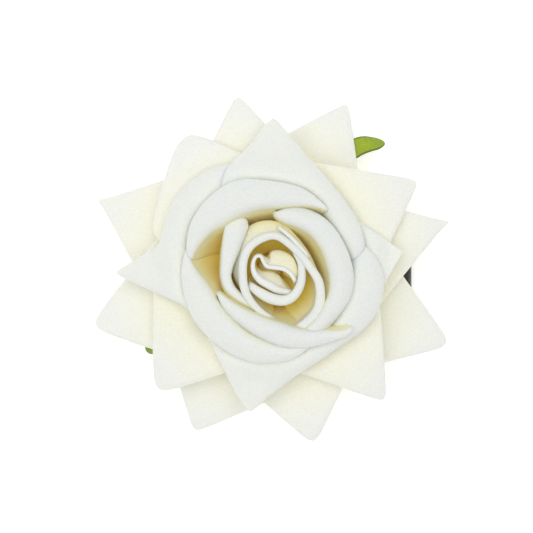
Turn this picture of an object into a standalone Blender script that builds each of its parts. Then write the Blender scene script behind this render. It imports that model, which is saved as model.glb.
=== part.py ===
"""A flocked fabric rose on a sprung single-prong hair clip, in metres, with +Z up.

The rose faces +Z and its stem is the Z axis. Four die-cut sheets of four pointed petals, a cup sheet and
a rolled bud are threaded on a stem pin, over a star of sepals and a calyx. A felt disc under the calyx is
glued to the clip's top arm. The toothed lower arm turns on a pin through both arms' ears, with a torsion
spring between them. Z = 0 is the surface that the closed clip lies on, under the end of its lower lever.
"""

import math

import bmesh
import bpy
from mathutils import Matrix, Vector

MM = 0.001

# Fits
BOND_GAP = 0.2 * MM  # between two pieces that are glued or threaded face to face
PIN_CLEARANCE = 0.08 * MM  # round the pivot pin, in the ears
STEM_CLEARANCE = 0.2 * MM  # round the stem pin, in the sheets, the calyx and the core
EAR_GAP = 0.3 * MM  # between the top arm's ears and the lower arm's ears
JAW_GAP = 0.3 * MM  # between the teeth and the top arm
HEAD_GAP = 0.15 * MM  # between the pivot pin's heads and the ears

# Clip
METAL = 0.8 * MM
EAR_METAL = 0.7 * MM
TIP_X = -26.0 * MM
LEVER_END_X = 35.9 * MM
CLIP_Y = -2.0 * MM
TOP_ARM_WIDTH = 8.6 * MM
LEVER_GAP = 8.8 * MM  # between the two levers at their ends
LIP_LENGTH = 3.8 * MM
LIP_RISE = 0.9 * MM
PRONG_SETBACK = 0.8 * MM  # how far the lower arm's tip stays behind the top arm's
PRONG_TIP_GAP = 0.7 * MM  # between the prong and the top arm at the tip
PIVOT_X = 10.0 * MM
PIN_RADIUS = 0.9 * MM
PIN_HEAD_RADIUS = 1.7 * MM
PIN_HEAD_THICKNESS = 0.6 * MM
EAR_RADIUS = 2.1 * MM
EAR_HALF_FOOT = 4.2 * MM
TOOTH_COUNT = 6
TOOTH_PITCH = 2.1 * MM
TOOTH_START = 2.2 * MM  # from the prong's tip to its first tooth
WIRE_RADIUS = 0.3 * MM
COIL_CLEARANCE = 0.35 * MM  # between the pivot pin and the inside of the coil
COIL_TURN_GAP = 0.2 * MM  # between one turn of the coil and the next
COIL_SIDE_GAP = 0.5 * MM  # between the coil and the ears beside it
SPRING_LEG = 9.0 * MM

# Backing
CLIP_GLUE_THICKNESS = 0.5 * MM
CLIP_GLUE_LENGTH = 20.0 * MM
CLIP_GLUE_WIDTH = 7.4 * MM
FELT_RADIUS = 13.0 * MM
FELT_THICKNESS = 1.6 * MM
FLOWER_GLUE_RADIUS = 7.0 * MM
FLOWER_GLUE_THICKNESS = 0.8 * MM
CALYX_HEIGHT = 3.4 * MM
CALYX_FOOT_RADIUS = 4.4 * MM
CALYX_TOP_RADIUS = 8.0 * MM

# Flower
STEM_RADIUS = 1.0 * MM
SEPAL_THICKNESS = 0.4 * MM
PETAL_THICKNESS = 0.5 * MM
FLOWER_RADIUS = 45.0 * MM
NOTCH_RADIUS = 8.0 * MM  # the sheets are whole inside this radius and cut into petals outside it
NOTCH_SIDE_ANGLE = 42.0  # degrees from a petal's middle to its straight side
LEAN = 3.0 * MM  # the lever side of the flower sits this much higher at the flower's radius than the middle
CUP_HEIGHT = 21.0 * MM
CUP_RIM_RADIUS = 21.4 * MM
CUP_TUCK = 1.7 * MM  # how far one edge of a cup petal stands out, and the other in
BUD_HEIGHT = 17.5 * MM
BUD_LIFT = 3.4 * MM  # from the cup sheet's hub to the feet of the bud's petals
CORE_ROOM = 3.25 * MM  # radius left for the core inside the feet of the bud's petals
CORE_HEIGHT = 9.0 * MM
CORE_LIFT = 1.4 * MM  # from the cup sheet to the core

# Petals of the outer sheets, from the backmost sheet to the front one:
# (direction in degrees, tip beyond the flower's radius, half angle of the tip in degrees)
OUTER_SHEETS = (
    ((337.0, 3.4 * MM, 38.0), (64.8, 0.8 * MM, 38.0), (158.5, 2.3 * MM, 36.0), (245.2, 0.4 * MM, 37.0)),
    ((14.5, 1.4 * MM, 36.0), (100.8, -1.0 * MM, 38.0), (198.0, 1.5 * MM, 40.0), (284.0, 0.0, 38.0)),
    ((30.5, -2.3 * MM, 39.0), (122.7, -5.7 * MM, 42.0), (227.4, -3.7 * MM, 40.0), (311.0, -1.3 * MM, 39.0)),
    ((6.9, -11.2 * MM, 43.0), (89.0, -6.9 * MM, 42.0), (181.7, -5.6 * MM, 41.0), (262.0, -8.1 * MM, 43.0)),
)

# Side view of each outer sheet, as (share of the flower's radius, rise above the sheet's hub)
OUTER_PROFILES = (
    ((0.0, 0.0), (0.18, 0.1 * MM), (0.36, 0.2 * MM), (0.62, -2.3 * MM), (0.84, -7.8 * MM), (1.09, -15.0 * MM)),
    ((0.0, 0.0), (0.18, 0.6 * MM), (0.36, 2.6 * MM), (0.54, 2.9 * MM), (0.76, -0.6 * MM), (1.05, -7.8 * MM)),
    ((0.0, 0.0), (0.18, 1.2 * MM), (0.36, 5.2 * MM), (0.52, 7.2 * MM), (0.72, 5.0 * MM), (0.98, -2.0 * MM)),
    ((0.0, 0.0), (0.12, 0.4 * MM), (0.3, 4.8 * MM), (0.44, 11.0 * MM), (0.55, 14.2 * MM), (0.87, 7.5 * MM)),
)
SEPAL_PROFILE = ((0.0, 0.0), (0.18, 0.0), (0.36, 0.0), (0.62, -2.6 * MM), (0.84, -8.2 * MM), (1.09, -15.5 * MM))

# Sepals: (direction at the root, sideways bend at the tip, both in degrees, length beyond the notch radius)
SEPALS = (
    (58.0, -10.0, 35.5 * MM),
    (130.0, 6.0, 26.0 * MM),
    (206.0, 8.0, 30.0 * MM),
    (276.0, -6.0, 26.0 * MM),
    (345.0, 5.0, 24.0 * MM),
)
SEPAL_HALF_WIDTH = 2.3 * MM

# Side view of the cup, as (share of the rim's radius, share of the cup's height)
CUP_PROFILE = ((0.06, 0.0), (0.33, 0.1), (0.6, 0.33), (0.83, 0.63), (0.95, 0.86), (1.0, 1.0))
# Cup petals: (direction and half spread in degrees, tuck at the clockwise edge and at the other edge)
CUP_PETALS = (
    (18.0, 58.0, -1.0, -1.0),
    (112.0, 60.0, 1.0, 0.2),
    (205.0, 56.0, -0.9, 1.0),
    (292.0, 58.0, -0.9, 1.0),
)

# Rims of the bud's petals in plan, at their top edge, and the height of that edge as a share of the bud's
BUD_CENTRE = (1.3 * MM, -1.8 * MM)
BUD_BANDS = {
    "bud_wrap": (
        0.93,
        10,
        (
            (-5.6 * MM, 12.3 * MM),
            (-10.6 * MM, 11.2 * MM),
            (-12.3 * MM, 4.6 * MM),
            (-12.4 * MM, -0.5 * MM),
            (-11.5 * MM, -5.6 * MM),
            (-7.6 * MM, -10.2 * MM),
            (-1.6 * MM, -12.9 * MM),
            (1.4 * MM, -14.2 * MM),
        ),
    ),
    "bud_spiral": (
        1.0,
        20,
        (
            (-2.2 * MM, -10.2 * MM),
            (-5.3 * MM, -8.0 * MM),
            (-7.2 * MM, -4.3 * MM),
            (-7.7 * MM, 0.0),
            (-6.2 * MM, 4.6 * MM),
            (-3.1 * MM, 7.3 * MM),
            (1.3 * MM, 8.7 * MM),
            (5.3 * MM, 7.5 * MM),
            (8.8 * MM, 4.5 * MM),
            (11.6 * MM, -0.5 * MM),
            (13.5 * MM, -4.3 * MM),
            (13.6 * MM, -8.1 * MM),
            (11.4 * MM, -11.9 * MM),
            (8.4 * MM, -14.5 * MM),
        ),
    ),
    "bud_inner": (
        0.96,
        12,
        (
            (6.3 * MM, 3.4 * MM),
            (7.5 * MM, 1.2 * MM),
            (8.4 * MM, -1.8 * MM),
            (8.2 * MM, -4.3 * MM),
            (6.9 * MM, -7.4 * MM),
            (3.8 * MM, -8.9 * MM),
            (0.0, -8.6 * MM),
            (-3.1 * MM, -7.4 * MM),
            (-4.9 * MM, -5.2 * MM),
        ),
    ),
    "bud_curl": (
        0.88,
        12,
        (
            (2.8 * MM, -6.3 * MM),
            (0.6 * MM, -4.9 * MM),
            (-1.6 * MM, -3.3 * MM),
            (-3.2 * MM, -1.2 * MM),
            (-3.4 * MM, 1.0 * MM),
            (-1.7 * MM, 2.0 * MM),
            (0.4 * MM, 1.2 * MM),
            (3.1 * MM, 0.1 * MM),
            (5.2 * MM, -1.5 * MM),
            (6.2 * MM, -4.0 * MM),
        ),
    ),
}

# Heights, worked out from the sizes above
LOWER_LEVER_TOP = METAL
TOP_ARM_UNDER = LOWER_LEVER_TOP + LEVER_GAP
TOP_ARM_TOP = TOP_ARM_UNDER + METAL
COIL_RADIUS = PIN_RADIUS + COIL_CLEARANCE + WIRE_RADIUS
PIVOT_Z = TOP_ARM_UNDER - EAR_RADIUS - EAR_GAP
PRONG_TOP_AT_PIVOT = PIVOT_Z - EAR_RADIUS - EAR_GAP / 2
CLIP_GLUE_Z = TOP_ARM_TOP + BOND_GAP
FELT_Z = CLIP_GLUE_Z + CLIP_GLUE_THICKNESS + BOND_GAP
FLOWER_GLUE_Z = FELT_Z + FELT_THICKNESS + BOND_GAP
CALYX_Z = FLOWER_GLUE_Z + FLOWER_GLUE_THICKNESS + BOND_GAP
SEPAL_Z = CALYX_Z + CALYX_HEIGHT + BOND_GAP
FIRST_SHEET_Z = SEPAL_Z + SEPAL_THICKNESS + BOND_GAP
SHEET_PITCH = PETAL_THICKNESS + BOND_GAP
CUP_Z = FIRST_SHEET_Z + len(OUTER_SHEETS) * SHEET_PITCH
CORE_Z = CUP_Z + CORE_LIFT
BUD_Z = CUP_Z + BUD_LIFT
CORE_RADIUS = CORE_ROOM - PETAL_THICKNESS / 2
STEM_HOLE_RADIUS = STEM_RADIUS + STEM_CLEARANCE
TOP_EAR_INNER_Y = TOP_ARM_WIDTH / 2 - EAR_METAL
LOWER_EAR_OUTER_Y = TOP_EAR_INNER_Y - EAR_GAP
COIL_ROOM = 2 * (LOWER_EAR_OUTER_Y - EAR_METAL - COIL_SIDE_GAP - WIRE_RADIUS)
COIL_TURNS = int(COIL_ROOM / (2 * WIRE_RADIUS + COIL_TURN_GAP) - 0.49)
PRONG_TIP_X = TIP_X + PRONG_SETBACK
PRONG_TIP_Z = TOP_ARM_UNDER - PRONG_TIP_GAP

ROUND_STEPS = 28
LOBE_ROWS = 9  # rows of faces in each lobe of a sheet, of which the first is in its hub
WELD = 0.001 * MM


def clear_scene():
    for item in list(bpy.data.objects):
        bpy.data.objects.remove(item)


def new_collection(name, hidden=False):
    collection = bpy.data.collections.new(name)
    collection.hide_render = hidden
    bpy.context.scene.collection.children.link(collection)
    return collection


def new_material(name, colour, roughness, metallic=0.0):
    material = bpy.data.materials.new(name)
    material.use_nodes = True
    shader = material.node_tree.nodes["Principled BSDF"]
    shader.inputs["Base Color"].default_value = (*colour, 1.0)
    shader.inputs["Roughness"].default_value = roughness
    shader.inputs["Metallic"].default_value = metallic
    return material


def new_object(name, mesh, collection, material=None):
    item = bpy.data.objects.new(name, mesh)
    collection.objects.link(item)
    if material:
        mesh.materials.append(material)
    return item


def new_cutter(name, mesh, collection):
    cutter = new_object(name, mesh, collection)
    cutter.hide_render = True
    cutter.display_type = "WIRE"
    return cutter


def smooth_round(item, angle=35.0):
    item.data.shade_smooth()
    item.data.set_sharp_from_angle(angle=math.radians(angle))


def add_boolean(item, other, operation):
    modifier = item.modifiers.new(operation.title() + " " + other.name, "BOOLEAN")
    modifier.operation = operation
    modifier.object = other
    modifier.solver = "EXACT"


def add_solidify(item, thickness, offset):
    modifier = item.modifiers.new("Thickness", "SOLIDIFY")
    modifier.thickness = thickness
    modifier.offset = offset


def settle_modifiers(item):
    """The item's mesh as its modifiers leave it, in its own space, so that a Boolean can use it."""
    graph = bpy.context.evaluated_depsgraph_get()
    mesh = bpy.data.meshes.new_from_object(item.evaluated_get(graph))
    shape = bmesh.new()
    shape.from_mesh(mesh)
    bmesh.ops.remove_doubles(shape, verts=shape.verts, dist=WELD)
    bmesh.ops.recalc_face_normals(shape, faces=shape.faces)
    shape.to_mesh(mesh)
    shape.free()
    return mesh


def curve_through(points, x):
    """The height at x of a smooth curve through points (x, height), straight on past its ends."""
    last = len(points) - 1

    def slope(index):
        before, after = points[max(index - 1, 0)], points[min(index + 1, last)]
        return (after[1] - before[1]) / (after[0] - before[0])

    index = max(i for i in range(last) if i == 0 or points[i][0] <= x)
    (x0, y0), (x1, y1) = points[index], points[index + 1]
    width = x1 - x0
    t = min(max((x - x0) / width, 0.0), 1.0)
    start, end = slope(index) * width, slope(index + 1) * width
    height = (2 * t**3 - 3 * t**2 + 1) * y0 + (t**3 - 2 * t**2 + t) * start
    height += (3 * t**2 - 2 * t**3) * y1 + (t**3 - t**2) * end
    beyond = max(x - x1, 0.0)
    return height + beyond * slope(last)


def path_through(points, count):
    """count + 1 points, evenly spaced in parameter, on a smooth curve through the plan points."""
    numbered_x = [(i, point[0]) for i, point in enumerate(points)]
    numbered_y = [(i, point[1]) for i, point in enumerate(points)]
    places = [i * (len(points) - 1) / count for i in range(count + 1)]
    return [Vector((curve_through(numbered_x, t), curve_through(numbered_y, t))) for t in places]


def smooth_min(a, b, blend):
    h = max(blend - abs(a - b), 0.0) / blend
    return min(a, b) - h * h * blend / 4


def mix(a, b, share):
    return a + (b - a) * share


def add_patch(shape, columns, rows, place):
    """A grid patch in the shape, each of its points put where place(u from -1 to 1, v from 0 to 1) says."""
    made = bmesh.ops.create_grid(shape, x_segments=columns, y_segments=rows, size=1.0)
    for vertex in made["verts"]:
        vertex.co = place(vertex.co.x, (vertex.co.y + 1) / 2)


def patch_mesh(name, shape, facing):
    """The shape as a mesh of one skin, with its points merged and the side nearest to facing as its front."""
    bmesh.ops.remove_doubles(shape, verts=shape.verts, dist=WELD)
    bmesh.ops.recalc_face_normals(shape, faces=shape.faces)
    faced = sum(face.normal.dot(facing) * face.calc_area() for face in shape.faces)
    if faced < 0:
        bmesh.ops.reverse_faces(shape, faces=shape.faces)
    mesh = bpy.data.meshes.new(name)
    shape.to_mesh(mesh)
    shape.free()
    return mesh


def turned(name, profile, collection, material, steps=ROUND_STEPS):
    """A solid of revolution about Z. The profile is (radius, height), down the outside and, if hollow, round."""
    mesh = bpy.data.meshes.new(name)
    points = [(radius, 0.0, height) for radius, height in profile]
    edges = [(i, i + 1) for i in range(len(points) - 1)]
    if profile[0][0] > 0:
        edges.append((len(points) - 1, 0))
    mesh.from_pydata(points, edges, [])
    item = new_object(name, mesh, collection, material)
    screw = item.modifiers.new("Turn", "SCREW")
    screw.steps = steps
    screw.render_steps = steps
    screw.use_merge_vertices = True
    screw.merge_threshold = 0.01 * MM
    screw.use_smooth_shade = True
    return item


def flat_plate(name, outline, thickness, collection, material=None):
    """A plate of the XZ outline, its thickness along Y about the object's own origin."""
    curve = bpy.data.curves.new(name, "CURVE")
    curve.dimensions = "2D"
    curve.fill_mode = "BOTH"
    curve.extrude = thickness / 2
    spline = curve.splines.new("POLY")
    spline.points.add(len(outline) - 1)
    spline.use_cyclic_u = True
    for point, (x, z) in zip(spline.points, outline):
        point.co = (x, z, 0.0, 1.0)
    guide = new_object(name + "_guide", curve, collection)
    bpy.context.view_layer.update()
    mesh = settle_modifiers(guide)
    bpy.data.objects.remove(guide)
    mesh.transform(Matrix.Rotation(math.pi / 2, 4, "X"))
    plate = new_object(name, mesh, collection, material)
    plate.hide_render = True
    plate.display_type = "WIRE"
    return plate


def arm_strip(name, stations, half_width, top_height, collection, material):
    """A bent strip of sheet metal along X: its top face is at top_height(x), its thickness goes down."""
    shape = bmesh.new()
    last = len(stations) - 1

    def place(u, v):
        x = stations[round(v * last)]
        return Vector((x, CLIP_Y + u * half_width(x), top_height(x)))

    add_patch(shape, 4, last, place)
    item = new_object(name, patch_mesh(name, shape, Vector((0, 0, 1))), collection, material)
    add_solidify(item, METAL, -1.0)
    item.modifiers["Thickness"].use_even_offset = True
    return item


def rounded_end(distance, width, radius):
    """Half width of a strip with rounded corners, at this distance from its end."""
    if distance >= radius:
        return width
    inset = radius - math.sqrt(max(radius**2 - (radius - distance) ** 2, 0.0))
    return width - inset


def ear_outline(centre_z, foot_z):
    """A tab with a round end about the pivot and a wide foot, where it joins its arm."""
    side = 1 if foot_z > centre_z else -1
    arc = [math.pi * i / 8 for i in range(9)]
    outline = [
        (PIVOT_X + EAR_RADIUS * math.cos(a), centre_z - side * EAR_RADIUS * math.sin(a)) for a in arc
    ]
    outline += [(PIVOT_X - EAR_HALF_FOOT, foot_z), (PIVOT_X + EAR_HALF_FOOT, foot_z)]
    return outline


def pivot_hole(name, cutters):
    shape = bmesh.new()
    hole = PIN_RADIUS + PIN_CLEARANCE
    bmesh.ops.create_cone(
        shape,
        cap_ends=True,
        segments=ROUND_STEPS,
        radius1=hole,
        radius2=hole,
        depth=2 * TOP_ARM_WIDTH,
        matrix=Matrix.Translation((PIVOT_X, CLIP_Y, PIVOT_Z)) @ Matrix.Rotation(math.pi / 2, 4, "X"),
    )
    mesh = bpy.data.meshes.new(name)
    shape.to_mesh(mesh)
    shape.free()
    return new_cutter(name, mesh, cutters)


def add_ears(arm, name, outline, outer_y, cutters):
    for side in (-1, 1):
        ear = flat_plate(f"{name}_{'left' if side > 0 else 'right'}", outline, EAR_METAL, cutters)
        ear.location.y = CLIP_Y + side * (outer_y - EAR_METAL / 2)
        add_boolean(arm, ear, "UNION")


def top_arm(parts, cutters, metal):
    lip_start = LEVER_END_X - LIP_LENGTH

    def half_width(x):
        half = TOP_ARM_WIDTH / 2
        from_tip = rounded_end(x - TIP_X, half, half * 0.8)
        from_lever = rounded_end(LEVER_END_X - x, half, half * 0.35)
        return min(from_tip, from_lever)

    def top_height(x):
        along = max(x - lip_start, 0.0) / LIP_LENGTH
        return TOP_ARM_TOP + LIP_RISE * along**2

    tip_run = TOP_ARM_WIDTH * 0.4
    stations = [TIP_X + tip_run * share for share in (0.0, 0.06, 0.2, 0.45, 0.75, 1.0)]
    stations += [lip_start + LIP_LENGTH * share for share in (0.0, 0.3, 0.6, 0.8, 0.93, 1.0)]
    arm = arm_strip("clip_top_arm", stations, half_width, top_height, parts, metal)
    foot = TOP_ARM_UNDER + METAL / 2
    add_ears(arm, "top_ear", ear_outline(PIVOT_Z, foot), TOP_ARM_WIDTH / 2, cutters)
    add_boolean(arm, pivot_hole("top_arm_hole", cutters), "DIFFERENCE")
    return arm


def prong_top(x):
    """Height of the lower arm's top face: straight from the tip to the pivot, then down to its level lip."""
    bend_x = PIVOT_X + 2 * MM
    lip_x = LEVER_END_X - LIP_LENGTH
    slope = (PRONG_TOP_AT_PIVOT - PRONG_TIP_Z) / (PIVOT_X - PRONG_TIP_X)
    bend_z = PRONG_TIP_Z + slope * (bend_x - PRONG_TIP_X)
    if x <= bend_x:
        return PRONG_TIP_Z + slope * (x - PRONG_TIP_X)
    if x >= lip_x:
        return LOWER_LEVER_TOP
    return mix(bend_z, LOWER_LEVER_TOP, (x - bend_x) / (lip_x - bend_x))


def teeth_outline():
    """A row of saw teeth whose points reach up to the top arm, standing on the prong's top face."""
    crest = TOP_ARM_UNDER - JAW_GAP
    first = PRONG_TIP_X + TOOTH_START
    last = first + TOOTH_COUNT * TOOTH_PITCH
    outline = [(first, prong_top(first) - METAL / 2)]
    outline.append((last, prong_top(last) - METAL / 2))
    for index in reversed(range(TOOTH_COUNT)):
        root = first + (index + 1) * TOOTH_PITCH
        outline.append((root, prong_top(root) + 0.15 * MM))
        outline.append((root - TOOTH_PITCH / 2, crest))
    outline.append((first, prong_top(first) + 0.15 * MM))
    return outline


def lower_arm(parts, cutters, metal):
    lever_start = PIVOT_X + EAR_HALF_FOOT + 1.5 * MM
    lever_full = lever_start + 3 * MM

    def half_width(x):
        share = min(max((x - lever_start) / (lever_full - lever_start), 0.0), 1.0)
        half = mix(LOWER_EAR_OUTER_Y, TOP_ARM_WIDTH / 2, share)
        from_tip = rounded_end(x - PRONG_TIP_X, half, half * 0.8)
        from_lever = rounded_end(LEVER_END_X - x, half, half * 0.35)
        return min(from_tip, from_lever)

    tip_run = LOWER_EAR_OUTER_Y * 0.8
    lip_start = LEVER_END_X - LIP_LENGTH
    stations = [PRONG_TIP_X + tip_run * share for share in (0.0, 0.06, 0.2, 0.45, 0.75, 1.0)]
    stations += [PIVOT_X + 2 * MM, lever_start, lever_full, lip_start]
    stations += [lip_start + LIP_LENGTH * share for share in (0.6, 0.8, 0.93, 1.0)]
    arm = arm_strip("clip_lower_arm", stations, half_width, prong_top, parts, metal)
    foot = PRONG_TOP_AT_PIVOT - METAL / 2
    add_ears(arm, "lower_ear", ear_outline(PIVOT_Z, foot), LOWER_EAR_OUTER_Y, cutters)
    for side in (-1, 1):
        name = f"teeth_{'left' if side > 0 else 'right'}"
        teeth = flat_plate(name, teeth_outline(), EAR_METAL, cutters)
        teeth.location.y = CLIP_Y + side * (LOWER_EAR_OUTER_Y - EAR_METAL / 2)
        add_boolean(arm, teeth, "UNION")
    add_boolean(arm, pivot_hole("lower_arm_hole", cutters), "DIFFERENCE")
    return arm


def pivot_pin(parts, steel):
    inner = TOP_ARM_WIDTH / 2 + HEAD_GAP
    outer = inner + PIN_HEAD_THICKNESS
    dome = PIN_HEAD_RADIUS * 0.75
    half = [(0.0, outer), (dome, outer - 0.1 * MM), (PIN_HEAD_RADIUS, outer - 0.3 * MM)]
    half += [(PIN_HEAD_RADIUS, inner), (PIN_RADIUS, inner)]
    profile = half + [(radius, -height) for radius, height in reversed(half)]
    pin = turned("pivot_pin", profile, parts, steel)
    pin.location = (PIVOT_X, CLIP_Y, PIVOT_Z)
    pin.rotation_euler.x = math.pi / 2
    return pin


def torsion_spring(parts, steel):
    """A coil round the pin, with a leg under the top arm's lever and one on the lower arm's."""
    leg_end_x = PIVOT_X + SPRING_LEG
    half_coil = (2 * WIRE_RADIUS + COIL_TURN_GAP) * (COIL_TURNS + 0.5) / 2
    rest = WIRE_RADIUS + BOND_GAP
    points = [(leg_end_x, -half_coil, TOP_ARM_UNDER - rest)]
    steps = round(12 * (COIL_TURNS + 0.5))
    for index in range(steps + 1):
        turn = 2 * math.pi * index / 12
        x = PIVOT_X - COIL_RADIUS * math.sin(turn)
        z = PIVOT_Z + COIL_RADIUS * math.cos(turn)
        points.append((x, mix(-half_coil, half_coil, index / steps), z))
    points.append((leg_end_x, half_coil, prong_top(leg_end_x) + rest))
    curve = bpy.data.curves.new("torsion_spring", "CURVE")
    curve.dimensions = "3D"
    curve.bevel_depth = WIRE_RADIUS
    curve.bevel_resolution = 2
    curve.use_fill_caps = True
    spline = curve.splines.new("POLY")
    spline.points.add(len(points) - 1)
    for point, (x, y, z) in zip(spline.points, points):
        point.co = (x - PIVOT_X, y, z - PIVOT_Z, 1.0)
    spring = new_object("torsion_spring", curve, parts, steel)
    spring.location = (PIVOT_X, CLIP_Y, PIVOT_Z)
    return spring


def slab(name, length, width, thickness, corner, parts, material):
    """A rounded rectangular slab standing on its own origin."""
    outline = []
    for quarter, (sx, sy) in enumerate(((1, 1), (-1, 1), (-1, -1), (1, -1))):
        for step in range(4):
            angle = math.pi / 2 * (quarter + step / 3)
            x = sx * (length / 2 - corner) + corner * math.cos(angle)
            outline.append((x, sy * (width / 2 - corner) + corner * math.sin(angle)))
    curve = bpy.data.curves.new(name, "CURVE")
    curve.dimensions = "2D"
    curve.fill_mode = "BOTH"
    curve.extrude = thickness / 2
    spline = curve.splines.new("POLY")
    spline.points.add(len(outline) - 1)
    spline.use_cyclic_u = True
    for point, (x, y) in zip(spline.points, outline):
        point.co = (x, y, 0.0, 1.0)
    return new_object(name, curve, parts, material)


def disc_profile(radius, thickness, edge):
    """A solid disc's profile with softened edges."""
    return [
        (0.0, thickness),
        (radius - edge, thickness),
        (radius, thickness - edge),
        (radius, edge),
        (radius - edge, 0.0),
        (0.0, 0.0),
    ]


def backing(parts, glue, cloth, green):
    film = slab("clip_glue", CLIP_GLUE_LENGTH, CLIP_GLUE_WIDTH, CLIP_GLUE_THICKNESS, 2 * MM, parts, glue)
    film.location = (0.0, CLIP_Y, CLIP_GLUE_Z + CLIP_GLUE_THICKNESS / 2)
    felt = turned("felt_disc", disc_profile(FELT_RADIUS, FELT_THICKNESS, 0.3 * MM), parts, cloth)
    felt.location.z = FELT_Z
    puddle = disc_profile(FLOWER_GLUE_RADIUS, FLOWER_GLUE_THICKNESS, 0.35 * MM)
    turned("flower_glue", puddle, parts, glue).location.z = FLOWER_GLUE_Z
    bore = STEM_HOLE_RADIUS
    calyx = [
        (bore, CALYX_HEIGHT),
        (CALYX_TOP_RADIUS, CALYX_HEIGHT),
        (CALYX_TOP_RADIUS, CALYX_HEIGHT - 0.5 * MM),
        (mix(CALYX_FOOT_RADIUS, CALYX_TOP_RADIUS, 0.6), CALYX_HEIGHT * 0.6),
        (mix(CALYX_FOOT_RADIUS, CALYX_TOP_RADIUS, 0.1), CALYX_HEIGHT * 0.35),
        (CALYX_FOOT_RADIUS, 0.0),
        (bore, 0.0),
    ]
    turned("calyx", calyx, parts, green).location.z = CALYX_Z


def stem_and_core(parts, plastic, foam):
    stem_top = CORE_Z - CALYX_Z + CORE_HEIGHT * 0.5
    tip = 0.4 * MM
    stem = [
        (0.0, stem_top),
        (STEM_RADIUS - tip, stem_top),
        (STEM_RADIUS, stem_top - tip),
        (STEM_RADIUS, BOND_GAP),
        (0.0, BOND_GAP),
    ]
    turned("stem_pin", stem, parts, plastic, steps=16).location.z = CALYX_Z
    socket = CORE_HEIGHT * 0.5 + STEM_CLEARANCE
    core = [
        (0.0, CORE_HEIGHT),
        (CORE_RADIUS * 0.55, CORE_HEIGHT * 0.93),
        (CORE_RADIUS * 0.9, CORE_HEIGHT * 0.72),
        (CORE_RADIUS, CORE_HEIGHT * 0.4),
        (CORE_RADIUS * 0.8, CORE_HEIGHT * 0.1),
        (CORE_RADIUS * 0.6, 0.0),
        (STEM_HOLE_RADIUS, 0.0),
        (STEM_HOLE_RADIUS, socket),
        (0.0, socket),
    ]
    turned("bud_core", core, parts, foam, steps=20).location.z = CORE_Z


def lobe_place(profile, hub_z, bounds, direction, reach, half_width_at, bend=0.0):
    """place(u, v) for one lobe of a threaded sheet. bounds are the directions where its neighbours start."""

    def place(u, v):
        beyond_hub = max(v * LOBE_ROWS - 1, 0.0) / (LOBE_ROWS - 1)
        along = mix(STEM_HOLE_RADIUS, NOTCH_RADIUS, min(v * LOBE_ROWS, 1.0))
        along += (reach - NOTCH_RADIUS) * beyond_hub
        if beyond_hub < 0.01:
            angle, radius = mix(bounds[0], bounds[1], (1 + u) / 2), along
        else:
            side = u * half_width_at(along)
            past = (along - NOTCH_RADIUS) / (reach - NOTCH_RADIUS)
            angle = direction + math.atan2(side, along) + math.radians(bend) * past**1.5
            radius = math.hypot(side, along)
        share = radius / FLOWER_RADIUS
        lean = LEAN * share**2 * math.cos(angle)
        z = hub_z + curve_through(profile, share) + lean
        return Vector((radius * math.cos(angle), radius * math.sin(angle), z))

    return place


def neighbour_bounds(directions):
    """For each direction in radians, halfway to the neighbour before it and to the one after it."""
    count = len(directions)
    bounds = []
    for index, direction in enumerate(directions):
        before = (direction - directions[index - 1]) % (2 * math.pi)
        after = (directions[(index + 1) % count] - direction) % (2 * math.pi)
        bounds.append((direction - before / 2, direction + after / 2))
    return bounds


def outer_sheet(number, petals, profile, parts, cloth):
    shape = bmesh.new()
    directions = [math.radians(petal[0]) for petal in petals]
    hub_z = FIRST_SHEET_Z + number * SHEET_PITCH
    for petal, direction, bounds in zip(petals, directions, neighbour_bounds(directions)):
        reach = FLOWER_RADIUS + petal[1]
        taper = math.tan(math.radians(petal[2]))
        flank = math.tan(math.radians(NOTCH_SIDE_ANGLE))

        def half_width_at(along, reach=reach, taper=taper, flank=flank):
            return max(smooth_min(along * flank, (reach - along) * taper, 5 * MM), 0.0)

        add_patch(shape, 4, LOBE_ROWS, lobe_place(profile, hub_z, bounds, direction, reach, half_width_at))
    name = f"outer_petals_{number + 1}"
    sheet = new_object(name, patch_mesh(name, shape, Vector((0, 0, 1))), parts, cloth)
    add_solidify(sheet, PETAL_THICKNESS, 1.0)
    smooth_round(sheet, 50)


def sepal_star(parts, green):
    shape = bmesh.new()
    directions = [math.radians(sepal[0]) for sepal in SEPALS]
    for sepal, direction, bounds in zip(SEPALS, directions, neighbour_bounds(directions)):
        reach = NOTCH_RADIUS + sepal[2]

        def half_width_at(along, reach=reach):
            from_tip = math.sqrt(max(reach - along, 0.0) * 1.2 * MM) * 1.6
            return min(SEPAL_HALF_WIDTH * 1.2, from_tip)

        place = lobe_place(SEPAL_PROFILE, SEPAL_Z, bounds, direction, reach, half_width_at, sepal[1])
        add_patch(shape, 2, LOBE_ROWS, place)
    star = new_object("sepal_star", patch_mesh("sepal_star", shape, Vector((0, 0, 1))), parts, green)
    add_solidify(star, SEPAL_THICKNESS, 1.0)
    smooth_round(star, 50)


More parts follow.
